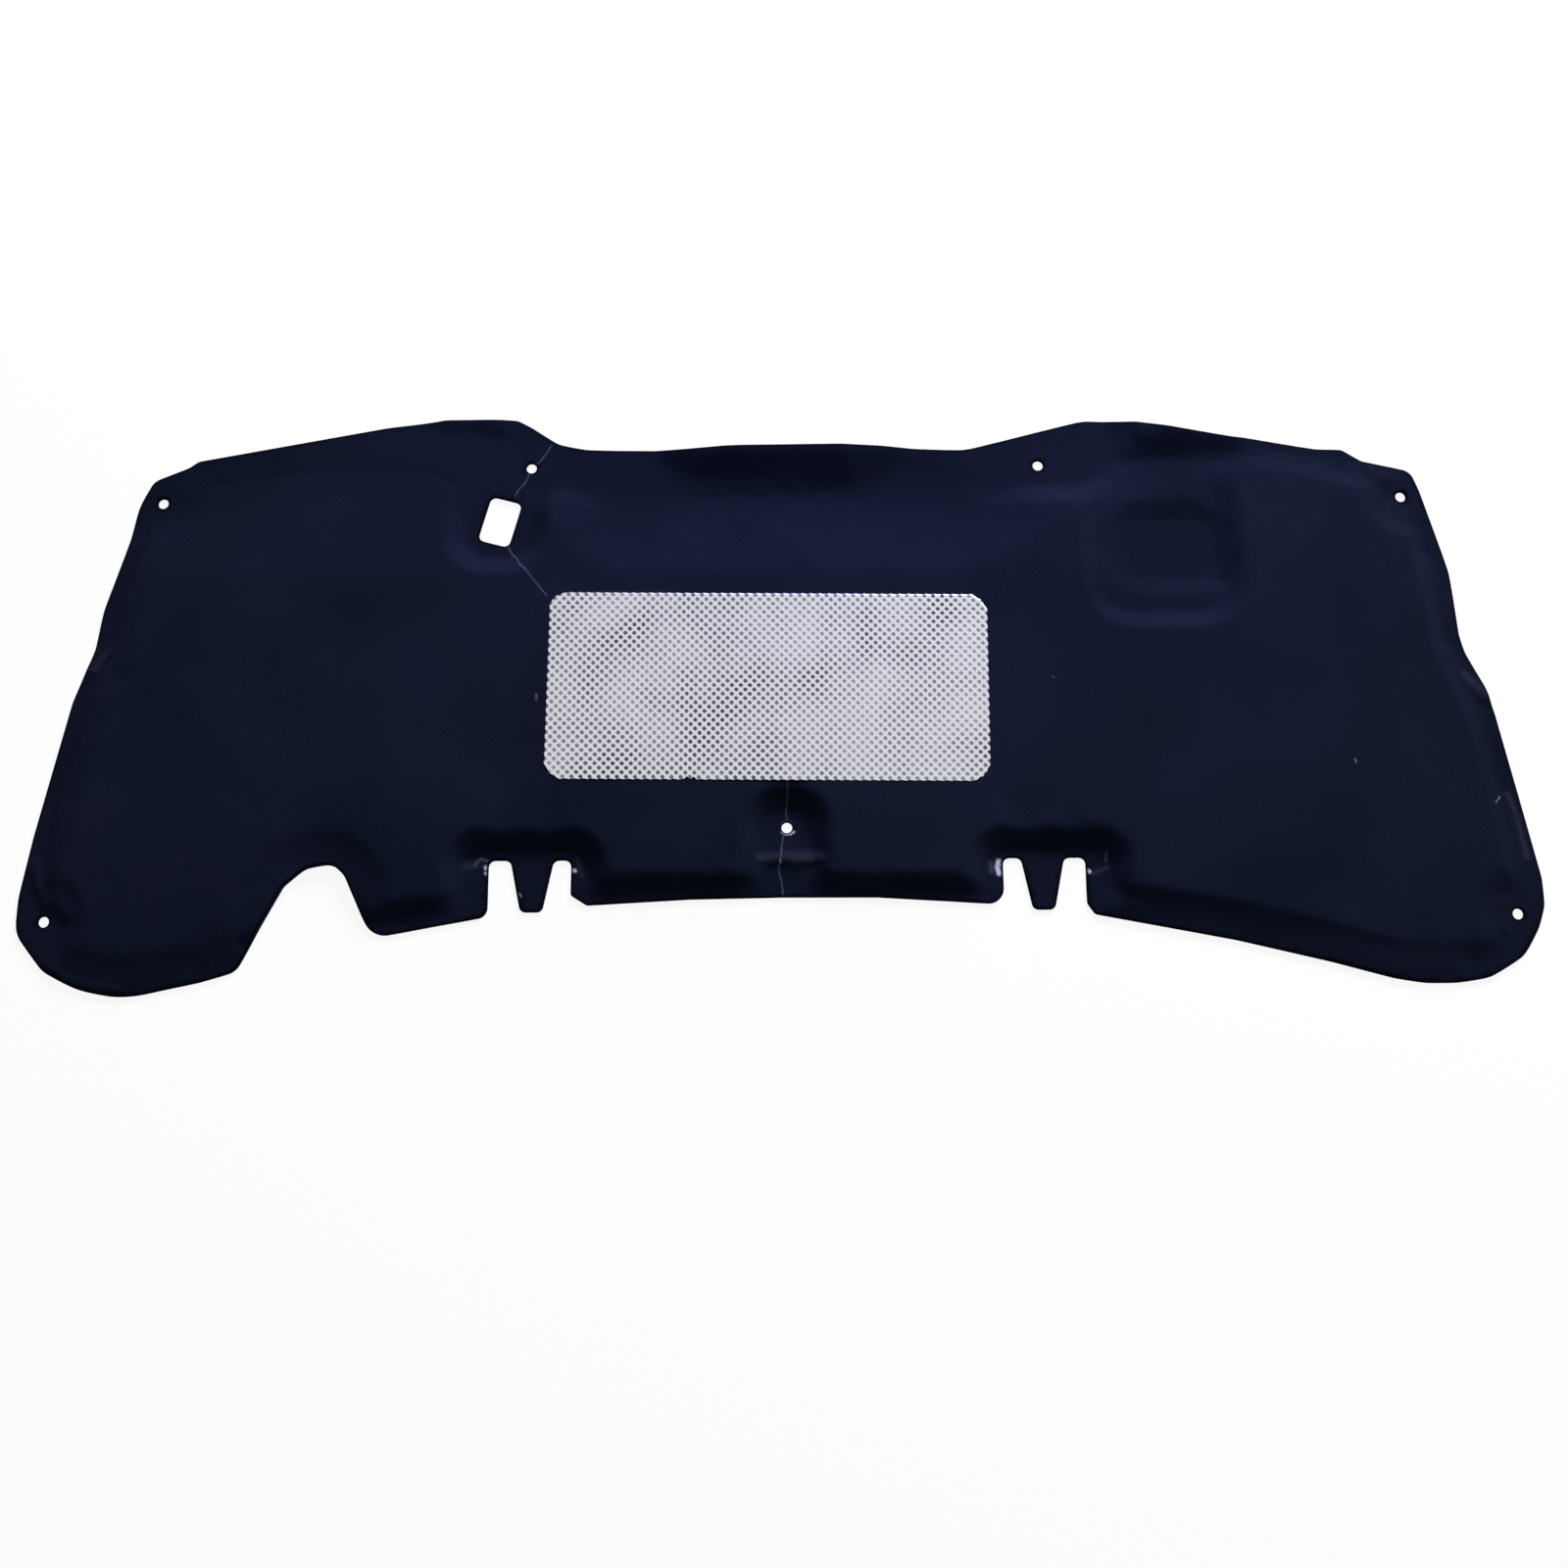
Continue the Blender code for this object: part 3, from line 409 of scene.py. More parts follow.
def layout(grid, fine, coarse, marks):
    """Every point of one side's mesh, the cut loops first and the points of its marks last."""
    bend = curvature(grid)
    small, large = net(fine), net(coarse)
    small = small[read(bend, small) > WALL_BEND]
    large = large[read(bend, large) <= WALL_BEND]
    spread = np.concatenate((small, large))
    if len(marks):
        spread = spread[gaps_to(point_tree(marks), spread) > MARK_CLEARANCE]
    body = np.concatenate((spread, marks))
    body = body[between(body, loops)]
    body = body[gaps_to(loop_tree, body) > EDGE_CLEARANCE]
    rings = [offset_ring(loop, share * ROLL_RADIUS) for loop in loops for share in ROLL_RINGS]
    return np.concatenate((*loops, *rings, body))


back_points = layout(back_height, BACK_FINE_STEP, BACK_COARSE_STEP, np.empty((0, 2)))
print("points on the back:", len(back_points))

# %% Crowd points under the marks
SCORE_STEP = 1.1
SCORE_LANES = (-1.3, -0.6, 0.0, 0.6, 1.3)
SCORE_MARGIN = 0.4
STROKE_STEP = 0.8
STROKE_REACH = 1.4


def mark_points():
    """Close points over each pale mark and along each score, so that their edges stay crisp."""
    groups, stroke_cells = [], set()
    for line in SCORES:
        middle = resampled(line, SCORE_STEP)
        heading = np.gradient(middle, axis=0)
        heading /= np.linalg.norm(heading, axis=1)[:, None]
        groups += [(middle + left_of(heading) * lane) * MM for lane in SCORE_LANES]
    for line, half_width, _ in WEAR_AND_HIGHLIGHT_STROKES:
        reach = STROKE_REACH * half_width + STROKE_STEP
        least = np.floor((np.min(line, axis=0) - reach) / STROKE_STEP).astype(int)
        most = np.ceil((np.max(line, axis=0) + reach) / STROKE_STEP).astype(int)
        cells = [(i, j) for i in range(least[0], most[0]) for j in range(least[1], most[1])]
        near = distance_to(np.array(cells) * STROKE_STEP, line) < reach
        stroke_cells.update(cell for cell, is_near in zip(cells, near) if is_near)
    spots = np.array(sorted(stroke_cells)) * STROKE_STEP
    for line in SCORES:
        spots = spots[distance_to(spots, line) > SCORE_LANES[-1] + SCORE_MARGIN]
    return np.concatenate((*groups, spots * MM))


face_points = layout(face_height, FINE_STEP, COARSE_STEP, mark_points())
print("points on the face:", len(face_points))

# %% Triangulate both sides
SAME_POINT = 1e-7


def triangulated(points, outlines):
    """Triangles inside the first outline and outside the others, whose points come first."""
    edges, start = [], 0
    for outline in outlines:
        edges += [(start + i, start + (i + 1) % len(outline)) for i in range(len(outline))]
        start += len(outline)
    corners = [Vector(point) for point in points]
    plan, _, faces, *_ = delaunay_2d_cdt(corners, edges, [], 0, SAME_POINT)
    plan = np.array([tuple(vertex) for vertex in plan])
    faces = np.array(faces)
    return plan, faces[between(plan[faces].mean(axis=1), outlines)]


face_plan, face_faces = triangulated(face_points, loops)
back_plan, back_faces = triangulated(back_points, loops)
loop_count = sum(len(loop) for loop in loops)
print("triangles:", len(face_faces), "on the face,", len(back_faces), "on the back")

# %% Press the layouts to the mat's section
FACE_ROLL, BACK_ROLL = 1.1 * MM, 0.7 * MM
# Each wave: how fast it turns along x and along y, in radians a metre, and where it starts
WAVES = [(31, 17, 0.4), (-23, 38, 1.9), (52, -29, 3.1), (12, 61, 5.2), (71, 44, 0.8)]
WAVE_HEIGHT = 0.10 * MM
# The waves fade in over this much height above the pressed rim
WAVES_START, WAVES_GROWTH = 6 * MM, 6 * MM


def roll(points):
    """How far the cut edge rolls over at each point, from 1 at the edge to 0 at the roll's end."""
    share = np.clip(gaps_to(loop_tree, points) / ROLL_RADIUS, 0.0, 1.0)
    return 1.0 - np.sqrt(1.0 - (1.0 - share) ** 2)


def undulation(points):
    """The slow unevenness of pressed felt, from a few crossed waves, in metres."""
    x, y = points[:, 0], points[:, 1]
    return sum(np.sin(a * x + b * y + phase) for a, b, phase in WAVES) * WAVE_HEIGHT


def shape_of_face(points):
    z = read(face_height, points)
    open_felt = np.clip((z - WAVES_START) / WAVES_GROWTH, 0.0, 1.0)
    z = z + small_forms(points) + undulation(points) * open_felt
    return z - roll(points) * FACE_ROLL


def shape_of_back(points):
    return read(back_height, points) + roll(points) * BACK_ROLL


face_z = shape_of_face(face_plan)
back_z = np.maximum(shape_of_back(back_plan), 0.0)
print("face from", round(face_z.min() / MM, 2), "to", round(face_z.max() / MM, 2), "mm high")

# %% Close the mat
count = len(face_plan)
face_vertices = np.column_stack((face_plan, face_z))
back_vertices = np.column_stack((back_plan, back_z))
vertices = np.concatenate((face_vertices, back_vertices))

sides, start = [], 0
for loop in loops:
    for i in range(len(loop)):
        a, b = start + i, start + (i + 1) % len(loop)
        quad = (a, count + a, count + b, b)
        sides.append(quad if loop is loops[0] else quad[::-1])
    start += len(loop)
all_faces = [*map(tuple, face_faces), *map(tuple, (back_faces + count)[:, ::-1]), *sides]

mat_mesh = bpy.data.meshes.new("felt_mat")
mat_mesh.from_pydata(vertices.tolist(), [], [tuple(int(i) for i in face) for face in all_faces])
mat_mesh.validate()
mat_mesh.shade_smooth()
mat = bpy.data.objects.new("felt_mat", mat_mesh)
bpy.context.scene.collection.objects.link(mat)
print("mat:", len(mat_mesh.vertices), "vertices,", len(mat_mesh.polygons), "faces")

# %% Store the marks on the mesh
# Width and spread of the painted shade along the cut edges
EDGE_SHADE_WIDTH = 2.0 * MM
EDGE_SHADE_SPREAD = 1.4
# Marks paler than this have a crisp edge, and the fainter ones, painted highlights among them, fade out
CRISP_PALENESS = 0.5
CRISP_SPREAD, SOFT_SPREAD, SCORE_SPREAD = 1.35, 1.4, 1.6
SOFT_POWER = 0.8
RAGGEDNESS, SOFT_RAGGEDNESS = 0.13, 0.6
# Felt of this thickness counts as pressed thin, and it counts as open with so much more
PRESSED_THICKNESS, OPEN_EXTRA = 4 * MM, 5 * MM


def store(mesh, name, values):
    attribute = mesh.attributes.new(name, "FLOAT", "POINT")
    attribute.data.foreach_set("value", np.asarray(values, np.float32))


def marks_at(points):
    """How pale the wear and the painted highlights make the fleece, and how scored it is, from 0 to 1.
    """
    mm = points / MM
    x, y = mm[:, 0], mm[:, 1]
    ragged = RAGGEDNESS * (np.sin(2.1 * x + 0.9 * y) + np.sin(1.3 * y - 2.7 * x))
    wear_and_highlights = np.zeros(len(points))
    for line, half_width, paleness in WEAR_AND_HIGHLIGHT_STROKES:
        gap = distance_to(mm, line) / half_width
        if paleness > CRISP_PALENESS:
            share = np.clip(CRISP_SPREAD + ragged - gap, 0.0, 1.0)
            profile = share * share * (3.0 - 2.0 * share)
        else:
            share = np.clip(1.0 + SOFT_RAGGEDNESS * ragged - gap / SOFT_SPREAD, 0.0, 1.0)
            profile = share**SOFT_POWER
        wear_and_highlights = np.maximum(wear_and_highlights, paleness * profile)
    scored = np.zeros(len(points))
    for line in SCORES:
        gap = distance_to(mm, line)
        scored = np.maximum(scored, np.clip(SCORE_SPREAD - gap / SCORE_HALF_WIDTH, 0.0, 1.0))
    return wear_and_highlights, scored * (0.85 + 0.15 * np.sin(0.5 * y + 0.3 * x))


wear_and_highlights, scored = marks_at(face_plan)
nothing = np.zeros(len(back_plan))
store(mat_mesh, "wear_and_highlights", np.concatenate((wear_and_highlights, nothing)))
store(mat_mesh, "scored", np.concatenate((scored, nothing)))
thickness = read(face_height - back_height, face_plan)
pressed = 1.0 - np.clip((thickness - PRESSED_THICKNESS) / OPEN_EXTRA, 0.0, 1.0)
store(mat_mesh, "pressed", np.concatenate((pressed, nothing)))
# Painted shade: near-black at the cut edges and the holes' rims, fading over a couple of millimetres,
# and darkest at the top of the cut sides.
edge_shade_values = np.zeros(len(vertices))
edge_shade_values[:count] = np.clip(EDGE_SHADE_SPREAD - gaps_to(loop_tree, face_plan) / EDGE_SHADE_WIDTH, 0.0, 1.0)
edge_shade_values[count:count + loop_count] = 1.0
store(mat_mesh, "painted_edge_shade", edge_shade_values)
print("share of the face that is pressed thin:", round(float(pressed.mean()), 2))

# %% [markdown]
# ## The foil shield
# The shield is household-thin aluminium that runs between embossing rollers before it is cut and
# bonded, so small pits cover it in a diamond lattice, 8.4 mm from pit to pit along a row, and its
# cut edge follows them in little waves. A bump map would flatten out at the edge. The sheet is thin
# enough to mesh the pits themselves, on a net that turns with the lattice.

# %% Lay out the foil
foil_low, foil_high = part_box("foil_shield")
FOIL_MIDDLE = np.array(((foil_low + foil_high) / 2).xy)
FOIL_TURN = math.radians(-0.63)
FOIL_SIZE = np.array([413.0, 181.0]) * MM
ROW_PITCH = 8.4 * MM
PIT_PITCH = ROW_PITCH / math.sqrt(2)
PIT_DEPTH = 0.34 * MM
# Each pit is a little narrower across one diagonal than across the other
PIT_SHARPNESS = 1.3
# How far each corner is cut back along the two sides, in millimetres, and how far its cut bulges
FOIL_CORNERS = {(-1, 1): (14, 11), (1, 1): (14, 15), (1, -1): (15, 16), (-1, -1): (14, 14)}
CORNER_BULGE = 0.36
CUT_STEP = 1.2 * MM
CUT_WAVE = 0.35 * MM
# Each nick in the rear edge: its place along the edge and its depth, in millimetres
NICKS = [(-74.0, 3.2), (-67.5, 2.4)]
NICK_HALF_WIDTH = 1.6
REAR_STRIP = 4 * MM
# The net's reach, its points to a pit, and how far it stays inside the sheet's box and its cut edge
NET_REACH = 0.24
POINTS_TO_A_PIT = 5
BOX_CLEARANCE, CUT_CLEARANCE = 0.6 * MM, 0.7 * MM


def foil_outline():
    """The foil's cut outline about its own middle: cut corners and an edge that waves with the pits."""
    half = FOIL_SIZE / 2
    corners = []
    for side in ((-1, -1), (1, -1), (1, 1), (-1, 1)):
        cut = np.array(FOIL_CORNERS[side]) * MM
        tip = np.array(side) * half
        ends = [tip - (0, side[1] * cut[1]), tip - (side[0] * cut[0], 0)]
        corner = tip - np.array(side) * cut * CORNER_BULGE
        ordered = [ends[0], corner, ends[1]]
        corners += ordered if side[0] * side[1] > 0 else ordered[::-1]
    line = resampled([*corners, corners[0]], CUT_STEP)[:-1]
    wave = CUT_WAVE * (1 + np.cos(2 * math.pi * (line[:, 0] + line[:, 1]) / ROW_PITCH))
    line = line + left_of(headings(line)) * wave[:, None]
    for x, depth in NICKS:
        near = np.exp(-(((line[:, 0] / MM - x) / NICK_HALF_WIDTH) ** 2))
        line[:, 1] += near * (line[:, 1] < REAR_STRIP - half[1]) * depth * MM
    return line


def lattice(points):
    """How deep in a pit each point lies, from 0 between the pits to 1 at their middles."""
    u = (points[:, 0] + points[:, 1]) / math.sqrt(2) / PIT_PITCH
    v = (points[:, 0] - points[:, 1]) / math.sqrt(2) / PIT_PITCH
    across = 0.5 + 0.5 * np.cos(2 * math.pi * u)
    along = 0.5 + 0.5 * np.cos(2 * math.pi * v)
    return across**PIT_SHARPNESS * along


edge_line = foil_outline()
steps = np.arange(-NET_REACH, NET_REACH, PIT_PITCH / POINTS_TO_A_PIT)
diagonals = np.array([(u + v, u - v) for u in steps for v in steps])
net_points = diagonals / math.sqrt(2)
net_points = net_points[(np.abs(net_points) < FOIL_SIZE / 2 - BOX_CLEARANCE).all(axis=1)]
net_points = net_points[inside(net_points, edge_line)]
net_points = net_points[gaps_to(point_tree(edge_line), net_points) > CUT_CLEARANCE]
print("foil:", len(edge_line), "points on its edge,", len(net_points), "inside")

# %% Emboss the foil
SHEET_DROP = 0.10 * MM
# Each crease: the points of its line, the half width and the rise, in millimetres
SOFT_CREASES = [
    ([(60, 40), (95, 22), (120, -2), (112, -34)], 9.0, 0.10),
    ([(-60, -44), (-22, -52), (10, -66)], 10.0, 0.10),
    ([(86, -20), (60, -34), (36, -60)], 7.0, 0.08),
    ([(128, 60), (150, 20), (146, -40)], 14.0, 0.06),
]
plan, faces = triangulated(np.concatenate((edge_line, net_points)), [edge_line])
pit = lattice(plan)
crease = np.zeros(len(plan))
for line, half_width, height in SOFT_CREASES:
    crease += height * np.exp(-((distance_to(plan / MM, line) / half_width) ** 2))
top = foil_high.z - PIT_DEPTH * pit - SHEET_DROP + crease * MM
bottom = np.full(len(edge_line), foil_low.z)
spin = Matrix.Rotation(FOIL_TURN, 2)
placed = np.array([tuple(spin @ Vector(p)) for p in plan]) + FOIL_MIDDLE
rim = placed[:len(edge_line)]
vertices = np.concatenate((np.column_stack((placed, top)), np.column_stack((rim, bottom))))
under = tuple(len(plan) + i for i in reversed(range(len(edge_line))))
edges = [(i, (i + 1) % len(edge_line)) for i in range(len(edge_line))]
skirt = [(a, len(plan) + a, len(plan) + b, b) for a, b in edges]
print("foil: pits", round(PIT_DEPTH / MM, 2), "mm deep,", len(faces), "triangles on its face")

# %% Close the foil
foil_mesh = bpy.data.meshes.new("embossed_foil")
foil_mesh.from_pydata(vertices.tolist(), [], [*map(tuple, faces.tolist()), *skirt, under])
foil_mesh.validate()
foil_mesh.shade_smooth()
store(foil_mesh, "pit", np.concatenate((pit, np.zeros(len(edge_line)))))
foil = bpy.data.objects.new("embossed_foil", foil_mesh)
bpy.context.scene.collection.objects.link(foil)
print("foil mesh:", len(foil_mesh.polygons), "faces")

# %% [markdown]
# ## Colours and nodes
# Colours are written as sRGB hex, as a picture editor shows them, and one function turns them into
# the linear values that the shader works in. One more function adds a node, so that each material
# below reads as a list of what it is made of.

# %% Two helpers for the materials


def linear(hex_colour):
    """An sRGB hex colour as linear red, green, blue and alpha."""
    values = [int(hex_colour[place:place + 2], 16) / 255 for place in (1, 3, 5)]
    bent = [v / 12.92 if v <= 0.04045 else ((v + 0.055) / 1.055) ** 2.4 for v in values]
    return (*bent, 1.0)


def add_node(material, kind, inputs=None, **settings):
    """Adds a node with its settings. Each input is another node's socket, or a plain value."""
    tree = material.node_tree
    node = tree.nodes.new("ShaderNode" + kind)
    for name, value in settings.items():
        setattr(node, name, value)
    for name, value in (inputs or {}).items():
        if isinstance(value, bpy.types.NodeSocket):
            tree.links.new(value, node.inputs[name])
        else:
            node.inputs[name].default_value = value
    return node


def new_material(name):
    material = bpy.data.materials.new(name)
    material.use_nodes = True
    material.node_tree.nodes.clear()
    return material


print("navy in linear light:", [round(v, 4) for v in linear("#161b2e")])

# %% [markdown]
# ## Needle-punched fleece facing
# The facing is a polyester nonwoven: loose fibres punched together by barbed needles, dyed
# blue-black and pressed with the mat. The eye gets a dull, deep navy with hardly any gloss, a faint
# bloom where the surface turns away, and a fine mottle of fibres about half a millimetre thick. That
# is finer than a pixel here, so the mottle is drawn at 1.6 mm. Where the mat is pressed thin the
# fleece packs tighter and looks a little darker.

# %% Make the fleece
FIBRE_MOTTLE = 1.6 * MM
fleece = new_material("needle_punched_fleece")
place = add_node(fleece, "TexCoord").outputs["Object"]
mottle = add_node(fleece, "TexNoise", {
    "Vector": place, "Scale": 1 / FIBRE_MOTTLE, "Detail": 3.0, "Roughness": 0.6})
cloud = add_node(fleece, "TexNoise", {
    "Vector": place, "Scale": 1 / (140 * MM), "Detail": 2.0, "Roughness": 0.5})
stretch = add_node(fleece, "Mapping", {"Vector": place, "Scale": (1.0, 4.5, 4.5)})
strands = add_node(fleece, "TexNoise", {
    "Vector": stretch.outputs["Vector"], "Scale": 1 / (7 * MM), "Detail": 4.0, "Roughness": 0.7,
    "Distortion": 0.8})
tone = add_node(fleece, "MapRange", {
    "Value": cloud.outputs["Fac"], "From Min": 0.32, "From Max": 0.68, "To Min": 0.0, "To Max": 1.0})
dyed = add_node(fleece, "Mix", {
    0: tone.outputs["Result"], 6: linear("#111725"), 7: linear("#161b2c")}, data_type="RGBA")
grain = add_node(fleece, "MapRange", {
    "Value": mottle.outputs["Fac"], "From Min": 0.3, "From Max": 0.7, "To Min": 0.78, "To Max": 1.22})
packed_tone = add_node(fleece, "Attribute", attribute_name="pressed")
packed_dark = add_node(fleece, "MapRange", {
    "Value": packed_tone.outputs["Fac"], "To Min": 1.0, "To Max": 0.84})
shade = add_node(fleece, "Math", {
    0: grain.outputs["Result"], 1: packed_dark.outputs["Result"]}, operation="MULTIPLY")
felted = add_node(fleece, "VectorMath", {
    0: dyed.outputs[2], "Scale": shade.outputs["Value"]}, operation="SCALE")
print("fleece has", len(fleece.node_tree.nodes), "nodes so far")

# %% Score the fleece, pale it with wear and painted highlights, and paint shade on its cut edges
scored_fact = add_node(fleece, "Attribute", attribute_name="scored")
score_share = add_node(fleece, "Math", {
    0: scored_fact.outputs["Fac"], 1: 0.36}, operation="MULTIPLY")
scratched = add_node(fleece, "Mix", {
    0: score_share.outputs["Value"], 6: felted.outputs["Vector"], 7: linear("#6f7590")},
    data_type="RGBA")
wear_and_highlight_fact = add_node(fleece, "Attribute", attribute_name="wear_and_highlights")
paleness = add_node(fleece, "Math", {0: wear_and_highlight_fact.outputs["Fac"], 1: 2.2}, operation="POWER")
# The pale colour paints spots of wear and, along beads and folds, painted highlights.
wear_and_highlight_mix = add_node(fleece, "Mix", {
    0: paleness.outputs["Value"], 6: scratched.outputs[2], 7: linear("#c4c4e2")}, data_type="RGBA")
# Painted shade: the fleece turns near-black along the cut edges and round the holes.
edge_shade_fact = add_node(fleece, "Attribute", attribute_name="painted_edge_shade")
cut = add_node(fleece, "Mix", {
    0: edge_shade_fact.outputs["Fac"], 6: wear_and_highlight_mix.outputs[2], 7: linear("#06070b")}, data_type="RGBA")
fuzz = add_node(fleece, "Math", {
    0: mottle.outputs["Fac"], 1: strands.outputs["Fac"]}, operation="ADD")
fleece_bump = add_node(fleece, "Bump", {
    "Height": fuzz.outputs["Value"], "Strength": 0.35, "Distance": 0.25 * MM})
fleece_shader = add_node(fleece, "BsdfPrincipled", {
    "Base Color": cut.outputs[2], "Roughness": 0.72, "IOR": 1.5, "Specular IOR Level": 0.01,
    "Specular Tint": linear("#5f78ff"), "Sheen Weight": 0.05, "Sheen Roughness": 0.45,
    "Sheen Tint": linear("#8fa4ff"), "Normal": fleece_bump.outputs["Normal"]})
add_node(fleece, "OutputMaterial", {"Surface": fleece_shader.outputs["BSDF"]})
mat_mesh.materials.append(fleece)
print("fleece has", len(fleece.node_tree.nodes), "nodes")

# %% [markdown]
# ## Embossed aluminium foil
# Aluminium foil straight from the rolling mill is a bright metal with a soft, milky reflection. The
# embossing rollers leave each pit a little duller, and its walls face away from the light, so the
# eye reads rows of dark dots on white silver. The roughness follows the pits that the mesh stores,
# and so does the base colour, which paints their shade in as dark grey, weaker in patches where
# broad painted highlights wash the dots out.

# %% Make the foil
aluminium = new_material("embossed_aluminium_foil")
place = add_node(aluminium, "TexCoord").outputs["Object"]
pit_depth = add_node(aluminium, "Attribute", attribute_name="pit")
dot = add_node(aluminium, "MapRange", {
    "Value": pit_depth.outputs["Fac"], "From Min": 0.10, "From Max": 0.38},
    interpolation_type="SMOOTHSTEP")
# A slow noise paints broad highlights in patches, where the painted pit shade is weaker.
highlight_patch = add_node(aluminium, "TexNoise", {
    "Vector": place, "Scale": 1 / (55 * MM), "Detail": 2.0, "Roughness": 0.5})
pit_shade_strength = add_node(aluminium, "MapRange", {
    "Value": highlight_patch.outputs["Fac"], "From Min": 0.35, "From Max": 0.7, "To Min": 0.95, "To Max": 0.6})
dark = add_node(aluminium, "Math", {
    0: dot.outputs["Result"], 1: pit_shade_strength.outputs["Result"]}, operation="MULTIPLY")
# The dark grey is painted shade in the pits, mixed into the silver base colour.
silver = add_node(aluminium, "Mix", {
    0: dark.outputs["Value"], 6: linear("#d0d0d8"), 7: linear("#2a2b32")}, data_type="RGBA")
dull = add_node(aluminium, "MapRange", {
    "Value": dark.outputs["Value"], "To Min": 0.26, "To Max": 0.5})
milling = add_node(aluminium, "TexNoise", {
    "Vector": place, "Scale": 1 / (9 * MM), "Detail": 3.0, "Roughness": 0.5})
foil_bump = add_node(aluminium, "Bump", {
    "Height": milling.outputs["Fac"], "Strength": 0.25, "Distance": 0.3 * MM})
foil_shader = add_node(aluminium, "BsdfPrincipled", {
    "Base Color": silver.outputs[2], "Metallic": 1.0, "Roughness": dull.outputs["Result"],
    "Normal": foil_bump.outputs["Normal"]})
add_node(aluminium, "OutputMaterial", {"Surface": foil_shader.outputs["BSDF"]})
foil_mesh.materials.append(aluminium)
print("foil has", len(aluminium.node_tree.nodes), "nodes")

# %% [markdown]
# ## Floor and light
# The photo was taken from above on white, with one soft window of light beyond the front edge and a
# little to the right. A large soft lamp stands in for it, and a weak blue one near the middle adds
# the cool bloom that the fleece shows there. The floor is white paper: the camera and mirror-like
# surfaces see it brighter than it is, which gives a clean white background without more light on
# the pad, and its diffuse part still takes the pad's shadow. The world behind it does the same.

# %% Lay the floor
FLOOR_HALF = 6.0
FLOOR_DROP = 0.05 * MM


def seen_directly(owner):
    """A socket that is 1 for rays from the camera and for those that a mirror or glass passes on."""
    rays = add_node(owner, "LightPath")
    seen = rays.outputs["Is Camera Ray"]
    for kind in ("Is Glossy Ray", "Is Transmission Ray"):
        either = add_node(owner, "Math", {0: seen, 1: rays.outputs[kind]}, operation="MAXIMUM")
        seen = either.outputs["Value"]
    return seen


paper = new_material("white_paper_floor")
share = add_node(paper, "Math", {0: seen_directly(paper), 1: 0.88}, operation="MULTIPLY")
white = add_node(paper, "Emission", {"Color": (1.0, 1.0, 1.0, 1.0), "Strength": 1.03})
sheet_shader = add_node(paper, "BsdfDiffuse", {"Color": linear("#f2f2f0")})
blend = add_node(paper, "MixShader", {
    0: share.outputs["Value"], 1: sheet_shader.outputs["BSDF"], 2: white.outputs["Emission"]})
add_node(paper, "OutputMaterial", {"Surface": blend.outputs["Shader"]})
floor_mesh = bpy.data.meshes.new("paper_floor")
floor_corners = [(x * FLOOR_HALF, y * FLOOR_HALF, 0) for x, y in ((-1, -1), (1, -1), (1, 1), (-1, 1))]
floor_mesh.from_pydata(floor_corners, [], [(0, 1, 2, 3)])
floor_mesh.materials.append(paper)
floor = bpy.data.objects.new("paper_floor", floor_mesh)
floor.location.z = -FLOOR_DROP
bpy.context.scene.collection.objects.link(floor)

# %% Hang the lamps


def soft_lamp(name, azimuth, elevation, distance, size, power, colour):
    """A square area lamp that faces the pad. Azimuth 0 is beyond the front edge, 90 to its right."""
    data = bpy.data.lights.new(name, "AREA")
    data.shape = "SQUARE"
    data.size, data.energy, data.color = size, power, linear(colour)[:3]
    lamp = bpy.data.objects.new(name, data)
    a, e = math.radians(azimuth), math.radians(elevation)
    place = Vector((math.sin(a) * math.cos(e), math.cos(a) * math.cos(e), math.sin(e)))
    lamp.location = place * distance
    lamp.rotation_euler = place.to_track_quat("Z", "Y").to_euler()
    bpy.context.scene.collection.objects.link(lamp)
    return lamp


soft_lamp("window_light", 26, 27, 4.0, 1.5, 262, "#fffdf8")
soft_lamp("blue_reflector", 10, 28, 1.05, 0.45, 6.0, "#6674ff")

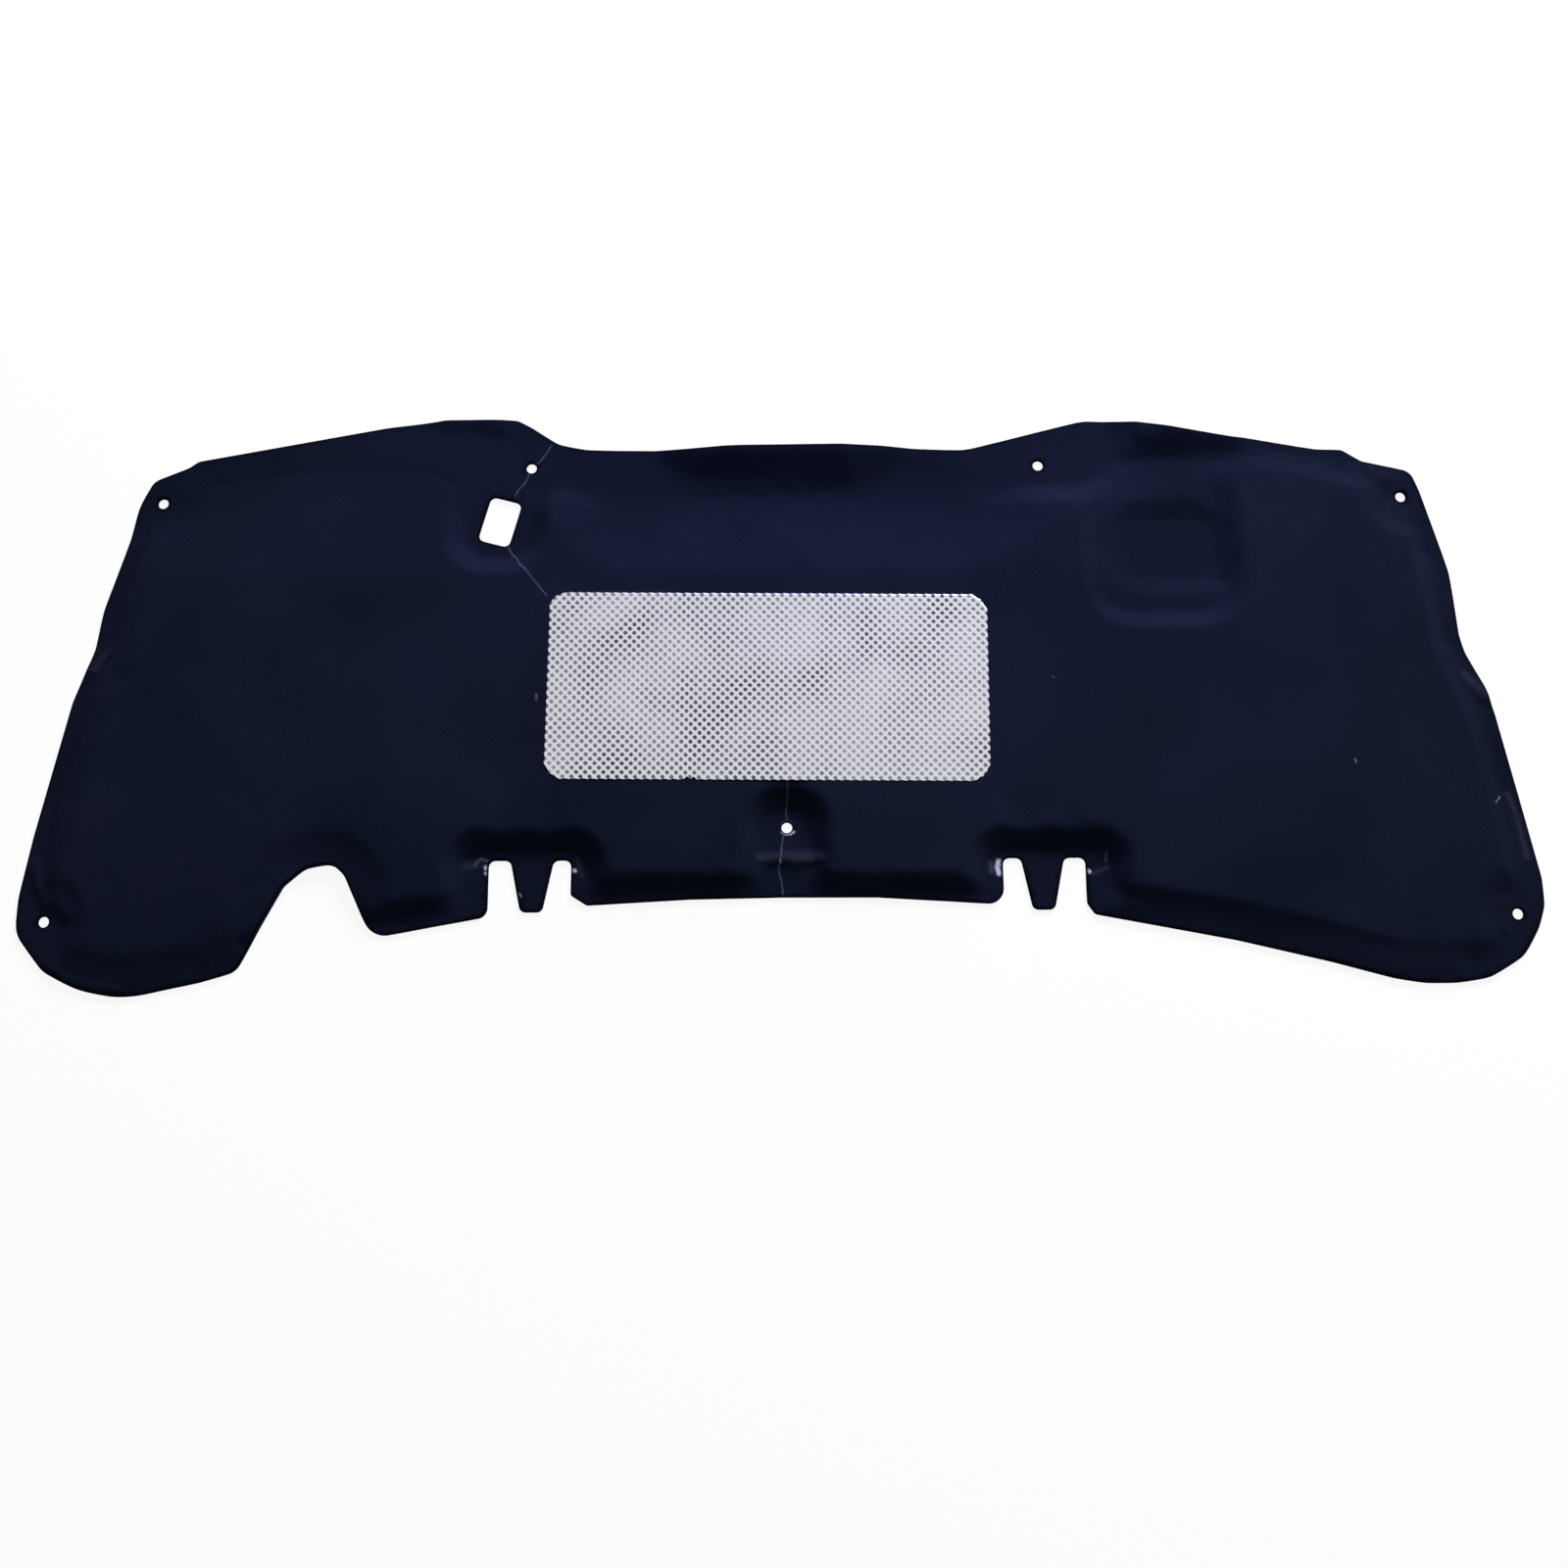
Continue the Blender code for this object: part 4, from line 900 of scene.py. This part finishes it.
world = bpy.data.worlds.new("white_room")
bpy.context.scene.world = world
world.use_nodes = True
world.node_tree.nodes.clear()
level = add_node(world, "MapRange", {"Value": seen_directly(world), "To Min": 0.16, "To Max": 1.0})
sky = add_node(world, "Background", {
    "Color": (1.0, 1.0, 1.0, 1.0), "Strength": level.outputs["Result"]})
add_node(world, "OutputWorld", {"Surface": sky.outputs["Background"]})

# %% [markdown]
# ## Camera
# The photographer stood behind the pad's rear edge and looked almost straight down on it. The pad's
# own outline gives the camera back: fitting its clip holes and its ends in the photo gives a tilt of
# 12.4 degrees, a tiny roll, and a distance of about a metre and a half for a normal lens.

# %% Set the camera
TILT, ROLL = math.radians(12.4), math.radians(0.32)
VIEW_DISTANCE = 1.5433
AIM = Vector((0.0036, -0.0856, 0.0035))
FOCAL_PIXELS, FRAME_PIXELS, SENSOR = 1692.0, 1600.0, 36.0
NEAREST, FARTHEST = 0.05, 50.0

look = Vector((0.0, math.sin(TILT), -math.cos(TILT)))
right = Vector((1.0, 0.0, 0.0))
up = right.cross(look)
turned_right = math.cos(ROLL) * right - math.sin(ROLL) * up
turned_up = math.cos(ROLL) * up + math.sin(ROLL) * right
camera_data = bpy.data.cameras.new("photo_camera")
camera_data.sensor_width = SENSOR
camera_data.lens = FOCAL_PIXELS / FRAME_PIXELS * SENSOR
camera_data.clip_start, camera_data.clip_end = NEAREST, FARTHEST
camera = bpy.data.objects.new("photo_camera", camera_data)
camera.matrix_world = Matrix((turned_right, turned_up, -look)).transposed().to_4x4()
camera.location = AIM - VIEW_DISTANCE * look
bpy.context.scene.collection.objects.link(camera)
bpy.context.scene.camera = camera
bpy.context.scene.view_settings.view_transform = "Standard"
print("camera at", [round(v, 3) for v in camera.location], "lens", round(camera_data.lens, 2), "mm")

# %% [markdown]
# ## Put the pieces on the pad's body
# Both pieces ride on the pad's one body and stand for the imported solids, which are hidden. The
# felt is soft but pressed hard, and the foil is metal.

for piece, node, slot in ((mat, "insulation_pad", "felt"), (foil, "foil_shield", "foil")):
    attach(piece, "root")
    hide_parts(node)
